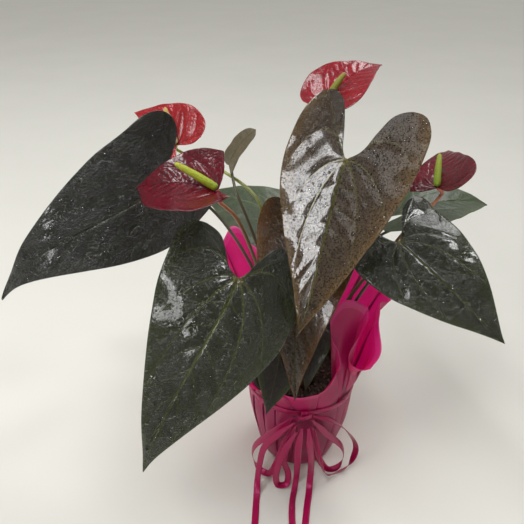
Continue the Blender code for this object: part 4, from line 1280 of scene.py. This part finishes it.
# Wrap --------------------------------------------------------------------------------------------


def wrap_columns():
    """Columns in order round the pot, closed, as unwrapped azimuths, rims, leans and curls."""
    azimuths, rims, leans, curls = [], [], [], []
    for azimuth, rim, lean, curl in WRAP_COLUMNS:
        turned = azimuth if not azimuths or azimuth > azimuths[0] else azimuth + 360
        azimuths.append(turned)
        rims.append(rim)
        leans.append(lean)
        curls.append(curl)
    return np.array(azimuths, float), np.array(rims), np.array(leans), np.array(curls)


def round_curve(values, places):
    """Catmull-Rom through values that close on themselves; places count in values."""
    count = len(values)
    padded = np.concatenate((values[-2:], values, values[:3]))
    return on_curve(padded, places % count + 2)


def wrap_surface(settings):
    """A function of u, round the pot, and v, up the film, that gives its places."""
    azimuths, rims, leans, curls = wrap_columns()
    count = len(azimuths)
    closed = np.stack((azimuths, leans, curls), axis=-1)

    chance = seeded("tucks")
    number = settings.tucks
    starts = np.arange(number) * 360 / number + chance.uniform(-5, 5, number)
    starts = np.append(starts, starts[0] + 360)
    depths = np.append(chance.uniform(0.75, 1.2, number), 1.0)
    # Each tuck's line round the pot: share of the panel, share of the tuck's width, layer inwards.
    stops = (0.0, 0.07, 0.14, 0.21, 0.50, 0.79, 0.90, 0.95, 1.0)
    line = np.array(((0.0, -0.5, -2.0), (0.0, 0.0, -2.0), (0.02, 0.5, -1.8), (0.10, 0.40, -0.7),
                     (0.50, 0.10, 0.5), (0.90, 0.30, 0.3), (1.0, 0.5, 0.0), (1.0, 0.0, -1.0),
                     (1.0, -0.5, -2.0)))

    def tucked(degrees):
        """Azimuth of the panels, how far the tucks fold over, and the layer, round the pot."""
        wanted = (degrees - starts[0]) % 360 + starts[0]
        cell = np.clip(np.searchsorted(starts, wanted, side="right") - 1, 0, number - 1)
        share = (wanted - starts[cell]) / (starts[cell + 1] - starts[cell])
        panel, over, layer = on_curve(line, np.interp(share, stops, np.arange(len(stops)))).T
        moved = starts[cell] + panel * (starts[cell + 1] - starts[cell]) - wanted
        return degrees + moved, over * depths[cell], layer

    def place(u, v):
        spot = u * count
        wound = np.concatenate((closed[-2:] - ((360, 0, 0),), closed, closed[:3] + ((360, 0, 0),)))
        azimuth, lean, curl = on_curve(wound, spot % count + 2).T
        rim = round_curve(rims, spot)
        share = np.clip((v - WRAP_BODY_SHARE) / (1 - WRAP_BODY_SHARE), 0, 1)
        low = np.clip(v / WRAP_BODY_SHARE, 0, 1)
        strength = np.clip((low - 0.34) / 0.30, 0, 1) * (1 - 0.72 * share)
        panel, over, layer = tucked(azimuth)
        mixed = azimuth + (panel - azimuth) * np.clip(strength * 1.6, 0, 1)
        turned = np.radians(mixed) + over * strength * settings.tuck_width / TIE_RADIUS
        outward = np.stack((np.cos(turned), np.sin(turned), np.zeros_like(azimuth)), axis=-1)
        # Body: out over the base, round its edge and up the pot to the tie.
        profile = np.array(((0.0, 0.0002), (0.026, 0.0002), (BASE_RADIUS - 0.003, 0.0004),
                            (BASE_RADIUS + 0.0008, 0.006), (0.0535, 0.036), (0.0595, 0.072),
                            (0.0634, 0.100), (TIE_RADIUS, TIE_HEIGHT)))
        body = on_curve(profile, low * (len(profile) - 1))
        slack = settings.layer_gap * strength * layer
        around_it = np.radians(azimuth)
        crumple = (
            np.sin(around_it * 5 + low * 5 + 0.8) * np.sin(low * 5.5 + 2 * np.sin(around_it * 2))
            + 0.6 * np.sin(around_it * 9 - low * 9 + 1.3)
            + 0.4 * np.sin(around_it * 14 + low * 13))
        slack = slack + settings.crumple * (crumple + 0.6) * strength * (
            1 - np.exp(-((v - WRAP_BODY_SHARE) / 0.05) ** 2))
        radius = body[:, 0] + slack + settings.bulge * np.sin(low * math.pi) * strength
        lower = outward * radius[:, None]
        lower[:, 2] = body[:, 1]
        # Flare: from the tie up to the rim.
        share = share[:, None]
        tie = outward * TIE_RADIUS
        tie[:, 2] = TIE_HEIGHT
        lift = np.linalg.norm(rim - tie, axis=1)[:, None]
        rise = np.array((0.0, 0.0, 1.0))
        leave = rise * lift * 0.9 + outward * lean[:, None] * 2.0
        arrive = (rim - tie) * 0.9 + outward * curl[:, None] * 2.0
        square, cube = share ** 2, share ** 3
        upper = (tie * (2 * cube - 3 * square + 1) + leave * (cube - 2 * square + share)
                 + rim * (3 * square - 2 * cube) + arrive * (cube - square))
        turn = np.radians(azimuth)
        ripple = 0.0016 * share[:, 0] ** 2 * np.sin(turn * 23 + 2 * np.sin(turn * 3))
        around = np.stack((-np.sin(turned), np.cos(turned), np.zeros_like(turned)), axis=-1)
        shift = over * strength * settings.tuck_width + np.radians(
            mixed - azimuth) * np.linalg.norm(rim[:, :2], axis=1)
        upper = upper + outward * (slack + ripple)[:, None]
        upper = upper + around * (shift * share[:, 0])[:, None]
        return np.where((v < WRAP_BODY_SHARE)[:, None], lower, upper)

    return place


def build_wrap(settings, material):
    surface = wrap_surface(settings)
    columns, rows = 720, 66
    wrap = add_grid("gift_wrap", columns, rows, surface)
    points = get_points(wrap).reshape(rows + 1, columns + 1, 3)
    steps = np.linalg.norm(np.diff(points, axis=0), axis=2)
    below_rim = np.vstack((np.flip(np.cumsum(np.flip(steps, 0), axis=0), 0),
                           np.zeros((1, columns + 1))))
    set_attribute(wrap, "rim", below_rim)
    # Painted shade: how far each point lies inside the film's average radius nearby, stored as "crease"
    # so the material darkens the folds.
    radius = np.linalg.norm(points[:, :, :2], axis=2)
    window = 12
    padded = np.concatenate((radius[:, -window:], radius, radius[:, :window]), axis=1)
    smooth = sum(padded[:, shift:shift + columns + 1] for shift in range(2 * window + 1))
    painted_crease_shade = np.clip((smooth / (2 * window + 1) - radius) / 0.0012, 0, 1)
    set_attribute(wrap, "crease", painted_crease_shade)
    merge(wrap, 0.00003, outward=False)
    wrap.data.materials.append(material)
    thicken(wrap, settings.thickness)
    finish_piece(wrap, [material], ("gift_wrap",))
    return wrap


# Ribbon ------------------------------------------------------------------------------------------


def ribbon_lines(route, count):
    """Middle line of the ribbon and the direction across its width, at even steps along it."""
    spots = [spot for spot, _ in route]
    last = len(route) - 1
    fine = on_route(spots, np.linspace(0, last, 600))
    reach = np.concatenate(([0], np.cumsum(np.linalg.norm(np.diff(fine, axis=0), axis=1))))
    places = np.interp(np.linspace(0, reach[-1], count), reach, np.linspace(0, last, 600))
    middle = on_route(spots, places)
    run = np.gradient(middle, axis=0)
    run /= np.linalg.norm(run, axis=1)[:, None]
    upright = np.clip((middle[:, 2] - 0.002) / 0.02, 0, 1)[:, None]
    level = middle * (1, 1, 0)
    facing = level / np.linalg.norm(level, axis=1)[:, None] * upright
    facing = facing + np.array((0, 0, 1.0)) * (1 - upright)
    across = np.cross(run, facing)
    across /= np.linalg.norm(across, axis=1)[:, None]
    normal = np.cross(across, run)
    turn = np.radians(on_curve([(angle, 0.0) for _, angle in route], places)[:, :1])
    wide = across * np.cos(turn) + normal * np.sin(turn)
    return middle, wide, np.cross(wide, run), reach[-1]


def build_ribbon(name, route, settings, material):
    """A flat strip along its route, drawn in where the knot grips it and slightly cupped."""
    count = 150
    middle, wide, facing, length = ribbon_lines(route, count)
    is_loop = "loop" in name
    share = np.linspace(0, 1, count)
    grip = np.minimum(share, 1 - share) if is_loop else share
    width = settings.width * np.minimum(0.30 + grip * 6, 1.0)

    def place(along, over):
        index = np.clip(np.round(along * (count - 1)).astype(int), 0, count - 1)
        offset = (over - 0.5)[:, None]
        cupped = facing[index] * (0.25 - offset ** 2) * 0.0011 * (1 - np.clip(
            (0.004 - middle[index][:, 2:3]) / 0.002, 0, 1))
        return middle[index] + wide[index] * width[index][:, None] * offset + cupped

    strip = add_grid(name, count - 1, 6, place)
    strip.data.materials.append(material)
    thicken(strip, settings.thickness)
    finish_piece(strip, [material], (name,))
    return strip


def build_band(settings, material):
    """The ribbon's turn round the waist, with a slight wobble and tilt."""
    def place(u, v):
        turn = u * 2 * math.pi
        radius = TIE_RADIUS + 0.0030 + 0.0005 * np.sin(turn * 7 + 1) - 0.0002 * np.sin(turn * 19)
        tilt = 0.0012 * np.sin(turn * 1.0 - 0.4) + 0.0006 * np.sin(turn * 3)
        height = TIE_HEIGHT + (v - 0.5) * settings.width * 0.92 + tilt
        bulge = (0.25 - (v - 0.5) ** 2) * 0.0022
        return np.stack((np.cos(turn) * (radius + bulge), np.sin(turn) * (radius + bulge), height),
                        axis=-1)

    band = add_grid("ribbon_band", 180, 8, place)
    merge(band, 0.00003)
    band.data.materials.append(material)
    thicken(band, settings.thickness)
    return finish_piece(band, [material], ("ribbon_band",))


def build_knot(settings, material):
    """The knot: a turn of ribbon pulled tight round the crossing, with a crease on each side."""
    centre = np.array((0.0, KNOT_FRONT + 0.0042, TIE_HEIGHT))

    def turn_round(u, v):
        turn = u * 2 * math.pi
        pinch = 1 - 0.30 * np.cos((v - 0.5) * 2 * math.pi) * 0.5
        across = (v - 0.5) * 0.0095
        bulge = (0.25 - (v - 0.5) ** 2) * 0.0045
        return centre + np.stack((
            across + 0.0012 * np.sin(turn + 0.5),
            -np.cos(turn) * (0.0028 + bulge) * pinch,
            np.sin(turn) * (0.0042 + bulge) * pinch), axis=-1)

    wrap_turn = add_grid("knot_turn", 48, 12, turn_round)
    merge(wrap_turn, 0.00002, outward=True)

    def cross_over(u, v):
        lift = np.sin(u * math.pi)
        return centre + np.stack((
            (u - 0.5) * 0.016, -0.0042 - lift * 0.0016 - 0.0006 * np.sin(v * math.pi),
            (v - 0.5) * 0.0062 + (u - 0.5) * 0.005), axis=-1)

    crossing = add_grid("knot_crossing", 24, 8, cross_over)
    knot = join([wrap_turn, crossing], "ribbon_knot")
    knot.data.materials.append(material)
    thicken(knot, settings.thickness)
    return finish_piece(knot, [material], ("ribbon_knot",))


# Pot contents ------------------------------------------------------------------------------------


def build_mix(material, chip_material):
    """A crumbly bed, mounded towards the crown, with chips of bark lying in it."""
    chance = seeded("mix")

    def place(u, v):
        turn = u * 2 * math.pi
        radius = SOIL_RADIUS * v
        bumps = (0.0011 * np.sin(turn * 9 + v * 21) * np.sin(v * 34)
                 + 0.0009 * np.sin(turn * 17 + v * 11))
        height = SOIL_TOP - 0.0008 + bumps * np.clip(v * 3, 0, 1) * np.clip((1 - v) * 8, 0, 1)
        height = height + 0.0018 * (1 - v) ** 2
        return np.stack((np.cos(turn) * radius, np.sin(turn) * radius, height), axis=-1)

    bed = add_grid("potting_mix_bed", 96, 30, place)
    merge(bed, 0.00003, outward=False)
    activate(bed)
    bpy.ops.object.mode_set(mode="EDIT")
    bpy.ops.mesh.select_all(action="DESELECT")
    bpy.ops.mesh.select_non_manifold()
    bpy.ops.mesh.extrude_region_move(TRANSFORM_OT_translate={"value": (0, 0, -0.06)})
    bpy.ops.transform.resize(value=(0.80, 0.80, 1.0), center_override=(0, 0, SOIL_TOP))
    bpy.ops.mesh.edge_face_add()
    bpy.ops.mesh.select_all(action="SELECT")
    bpy.ops.mesh.normals_make_consistent(inside=False)
    bpy.ops.object.mode_set(mode="OBJECT")
    finish_piece(bed, [material], ("potting_mix",))

    deselect()
    bpy.ops.mesh.primitive_ico_sphere_add(subdivisions=1, radius=1)
    chip = bpy.context.object
    pattern = get_points(chip).copy()
    faces = [tuple(face.vertices) for face in chip.data.polygons]
    bpy.data.objects.remove(chip, do_unlink=True)
    points, all_faces = [], []
    for _ in range(260):
        radius, turn = SOIL_RADIUS * math.sqrt(chance.uniform(0.12, 0.86)), chance.uniform(0,
            2 * math.pi)
        size = np.array((chance.uniform(0.0012, 0.0036), chance.uniform(0.0008, 0.0022), 0.0008))
        spin = chance.uniform(0, math.pi)
        rotate = np.array(((math.cos(spin), -math.sin(spin), 0),
                           (math.sin(spin), math.cos(spin), 0),
                           (0, 0, 1)))
        ragged = pattern * (1 + chance.uniform(-0.3, 0.3, (len(pattern), 1)))
        start = len(points) * len(pattern)
        points.append((ragged * size) @ rotate.T + polar(radius, math.degrees(turn),
                                                         SOIL_TOP + 0.0008))
        all_faces += [tuple(index + start for index in face) for face in faces]
    mesh = bpy.data.meshes.new("bark_chips")
    mesh.from_pydata(np.concatenate(points).tolist(), [], all_faces)
    chips = bpy.data.objects.new("bark_chips", mesh)
    bpy.context.scene.collection.objects.link(chips)
    finish_piece(chips, [chip_material])


def build_sheaths(material):
    """Papery brown sheaths round the foot of the stalks."""
    for index in range(7):
        middle = index * 51 + 12
        height = 0.016 + 0.007 * math.sin(index * 2.3)

        def place(u, v, middle=middle, height=height):
            turn = np.radians(middle + (u - 0.5) * 84 * (1 - 0.75 * v))
            radius = 0.0178 - 0.0006 * np.sin(u * math.pi) + 0.0035 * v ** 2
            rise = SOIL_TOP + 0.001 + height * v * (1 - 0.35 * (2 * u - 1) ** 2)
            return np.stack((np.cos(turn) * radius, np.sin(turn) * radius, rise), axis=-1)

        sheath = add_grid(f"crown_sheath_{index + 1}", 12, 10, place)
        thicken(sheath, 0.0004)
        finish_piece(sheath, [material])


# Operators ---------------------------------------------------------------------------------------


class ANTHURIUM_OT_stage(bpy.types.Operator):
    """Add the floor, the lights and the camera"""

    bl_idname = "anthurium.stage"
    bl_label = "Stage"

    def execute(self, context):
        settings = context.scene.anthurium_stage
        camera_data = bpy.data.cameras.new("camera")
        camera_data.lens = settings.lens
        camera = bpy.data.objects.new("camera", camera_data)
        camera.location = (-0.048, -0.4815, settings.camera_height)
        camera.rotation_euler = (math.pi / 2 - settings.camera_pitch, 0, 0)
        context.scene.collection.objects.link(camera)
        context.scene.camera = camera

        deselect()
        bpy.ops.mesh.primitive_plane_add(size=30)
        floor = context.object
        floor.name = "floor"
        material, tree, shader = new_material("floor")
        place = tree.nodes.new("ShaderNodeTexCoord").outputs["Object"]
        shade = use_group(tree, GROUPS["mottle"], Vector=place, Size=0.35, Detail=3.0).outputs[0]
        tone = tuple(settings.floor_colour)
        colour = ramp(tree, shade, (0.25, tuple(c * 0.95 for c in tone)), (0.75, tone))
        tree.links.new(colour, shader.inputs["Base Color"])
        shader.inputs["Roughness"].default_value = 0.85
        floor.data.materials.append(material)

        strip = self.add_softbox("overhead", settings.top_power, (0.42, 2.8), (-0.73, -0.38, 2.6),
                                 (-0.73, -0.38, 0))
        strip.rotation_euler = (0, 0, math.radians(23))
        self.add_softbox("gloss", settings.side_power, (0.36, 0.36), (1.45, 0.35, 2.5),
                         (0.1, 0, 0.3))
        self.add_softbox("left", settings.side_power, (0.36, 0.36), (-1.5, -1.0, 1.3), (0, 0, 0.2))
        even = bpy.data.lights.new("even", "SUN")
        even.energy = settings.even_light
        even.angle = math.radians(28)
        lamp = bpy.data.objects.new("even", even)
        lamp.rotation_euler = Vector((0.45, 0.55, 0.85)).to_track_quat("Z", "Y").to_euler()
        context.scene.collection.objects.link(lamp)
        world = bpy.data.worlds.new("studio")
        world.use_nodes = True
        background = world.node_tree.nodes["Background"]
        background.inputs["Color"].default_value = (1.0, 0.985, 0.94, 1.0)
        background.inputs["Strength"].default_value = settings.fill
        context.scene.world = world
        context.scene.view_settings.view_transform = "Standard"
        return {"FINISHED"}

    @staticmethod
    def add_softbox(name, power, sides, place, target):
        light = bpy.data.lights.new(name, "AREA")
        light.shape = "RECTANGLE"
        light.energy = power
        light.size, light.size_y = sides
        lamp = bpy.data.objects.new(name, light)
        lamp.location = place
        lamp.rotation_euler = (Vector(place) - Vector(target)).to_track_quat("Z", "Y").to_euler()
        bpy.context.scene.collection.objects.link(lamp)
        return lamp


class ANTHURIUM_OT_pot(bpy.types.Operator):
    """Finish the nursery pot and crown, and add the potting mix"""

    bl_idname = "anthurium.pot"
    bl_label = "Pot and mix"

    def execute(self, context):
        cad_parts["nursery_pot"].data.materials.clear()
        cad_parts["nursery_pot"].data.materials.append(pot_skin())
        sheath = stalk_skin("sheath", (0.0, (0.10, 0.055, 0.025)), (1.0, (0.16, 0.09, 0.04)))
        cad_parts["crown"].data.materials.clear()
        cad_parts["crown"].data.materials.append(sheath)
        chip = stalk_skin("bark", (0.0, (0.085, 0.045, 0.022)), (1.0, (0.12, 0.07, 0.035)))
        build_mix(soil_skin(), chip)
        build_sheaths(sheath)
        return {"FINISHED"}


class ANTHURIUM_OT_wrap(bpy.types.Operator):
    """Add the gathered film wrap"""

    bl_idname = "anthurium.wrap"
    bl_label = "Film wrap"

    def execute(self, context):
        settings = context.scene.anthurium_wrap
        build_wrap(settings, film_skin(settings))
        return {"FINISHED"}


class ANTHURIUM_OT_ribbon(bpy.types.Operator):
    """Add the ribbon's band, knot, loops and tails"""

    bl_idname = "anthurium.ribbon"
    bl_label = "Ribbon bow"

    def execute(self, context):
        settings = context.scene.anthurium_ribbon
        satin = satin_skin(settings)
        for name, route in RIBBON_ROUTES.items():
            build_ribbon(name, route, settings, satin)
        build_band(settings, satin)
        build_knot(settings, satin)
        return {"FINISHED"}


LEAF_DROPS = {"leaf_left": 90, "leaf_front": 110, "leaf_tall": 150, "leaf_right": 60,
              "leaf_middle": 30}


class ANTHURIUM_OT_leaves(bpy.types.Operator):
    """Add the leaves, their stalks and the water on them"""

    bl_idname = "anthurium.leaves"
    bl_label = "Leaves"

    def execute(self, context):
        settings = context.scene.anthurium_leaf
        water = water_skin()
        stalk = stalk_skin("petiole", (0.0, (0.070, 0.030, 0.012)), (0.55, (0.048, 0.034, 0.012)),
                           (0.90, (0.060, 0.064, 0.016)), (1.0, (0.16, 0.14, 0.025)))
        skins = {}
        for name, leaf in LEAVES.items():
            finish = leaf["finish"]
            if finish not in skins:
                skins[finish] = [leaf_skin(finish, settings), leaf_underside(finish, settings)]
            build_blade(name, leaf, settings, skins[finish], name)
            build_stalk(name.replace("leaf", "petiole"), leaf, settings.petiole_diameter,
                        settings.thickness, 0.22, stalk)
            if name in LEAF_DROPS:
                scatter_drops(name.replace("leaf", "drops"), leaf, LEAF_DROPS[name], settings,
                              water, settings.drop_radius)
        return {"FINISHED"}


class ANTHURIUM_OT_flowers(bpy.types.Operator):
    """Add the flowers: spathes, spadices and stalks"""

    bl_idname = "anthurium.flowers"
    bl_label = "Flowers"

    def execute(self, context):
        settings = context.scene.anthurium_flower
        ripe = tuple(settings.spadix_colour)
        spadix_skins = {
            "flower_back_left": spadix_skin("spadix_cream", (
                (0.0, (0.75, 0.66, 0.35)), (0.6, (0.80, 0.55, 0.12)), (1.0, (0.75, 0.38, 0.03)))),
            "flower_left": spadix_skin("spadix_lime", (
                (0.0, (0.34, 0.46, 0.02)), (0.35, ripe), (1.0, (0.62, 0.60, 0.05)))),
            "flower_top": spadix_skin("spadix_olive", (
                (0.0, (0.28, 0.32, 0.03)), (0.6, (0.36, 0.34, 0.05)), (1.0, (0.55, 0.33, 0.12)))),
            "flower_right": spadix_skin("spadix_green", (
                (0.0, (0.26, 0.38, 0.015)), (0.5, (0.40, 0.50, 0.03)), (1.0, (0.50, 0.50, 0.10)))),
        }
        green = stalk_skin("peduncle_green", (0.0, (0.10, 0.05, 0.02)), (0.40, (0.16, 0.17, 0.035)),
                           (0.65, (0.34, 0.38, 0.055)), (1.0, (0.48, 0.50, 0.08)))
        orange = stalk_skin("peduncle_orange", (0.0, (0.09, 0.045, 0.02)),
                            (0.55, (0.14, 0.10, 0.03)),
                            (0.80, (0.52, 0.17, 0.08)), (1.0, (0.66, 0.13, 0.07)))
        for name, flower in FLOWERS.items():
            skin = spathe_skin(flower["finish"])
            spathe = name.replace("flower", "spathe")
            build_blade(spathe, flower, settings, [skin], spathe)
            build_spadix(name.replace("flower", "spadix"), flower, settings.spadix_diameter,
                         spadix_skins[name])
            build_stalk(name.replace("flower", "peduncle"), flower, settings.peduncle_diameter,
                        settings.thickness, 0.05, orange if flower["finish"] == "wine" else green)
        return {"FINISHED"}


class ANTHURIUM_PT_panel(bpy.types.Panel):
    """Lists the steps that build the plant"""

    bl_label = "Potted anthurium"
    bl_idname = "ANTHURIUM_PT_panel"
    bl_space_type = "VIEW_3D"
    bl_region_type = "UI"
    bl_category = "Anthurium"

    def draw(self, context):
        for operator in OPERATORS:
            self.layout.operator(operator.bl_idname)
        for group_name in SETTINGS:
            box = self.layout.box()
            group = getattr(context.scene, group_name)
            for key in group.__annotations__:
                box.prop(group, key)


SETTINGS = {"anthurium_leaf": LeafSettings, "anthurium_flower": FlowerSettings,
            "anthurium_wrap": WrapSettings, "anthurium_ribbon": RibbonSettings,
            "anthurium_stage": StageSettings}
OPERATORS = (ANTHURIUM_OT_stage, ANTHURIUM_OT_ribbon, ANTHURIUM_OT_wrap, ANTHURIUM_OT_pot,
             ANTHURIUM_OT_leaves, ANTHURIUM_OT_flowers)


def register():
    for group_name, group in SETTINGS.items():
        bpy.utils.register_class(group)
        setattr(bpy.types.Scene, group_name, bpy.props.PointerProperty(type=group))
    for operator in OPERATORS:
        bpy.utils.register_class(operator)
    bpy.utils.register_class(ANTHURIUM_PT_panel)


def unregister():
    bpy.utils.unregister_class(ANTHURIUM_PT_panel)
    for operator in reversed(OPERATORS):
        bpy.utils.unregister_class(operator)
    for group_name, group in reversed(SETTINGS.items()):
        delattr(bpy.types.Scene, group_name)
        bpy.utils.unregister_class(group)


def main():
    register()
    for operator in OPERATORS:
        family, action = operator.bl_idname.split(".")
        getattr(getattr(bpy.ops, family), action)()


if __name__ == "__main__":
    main()
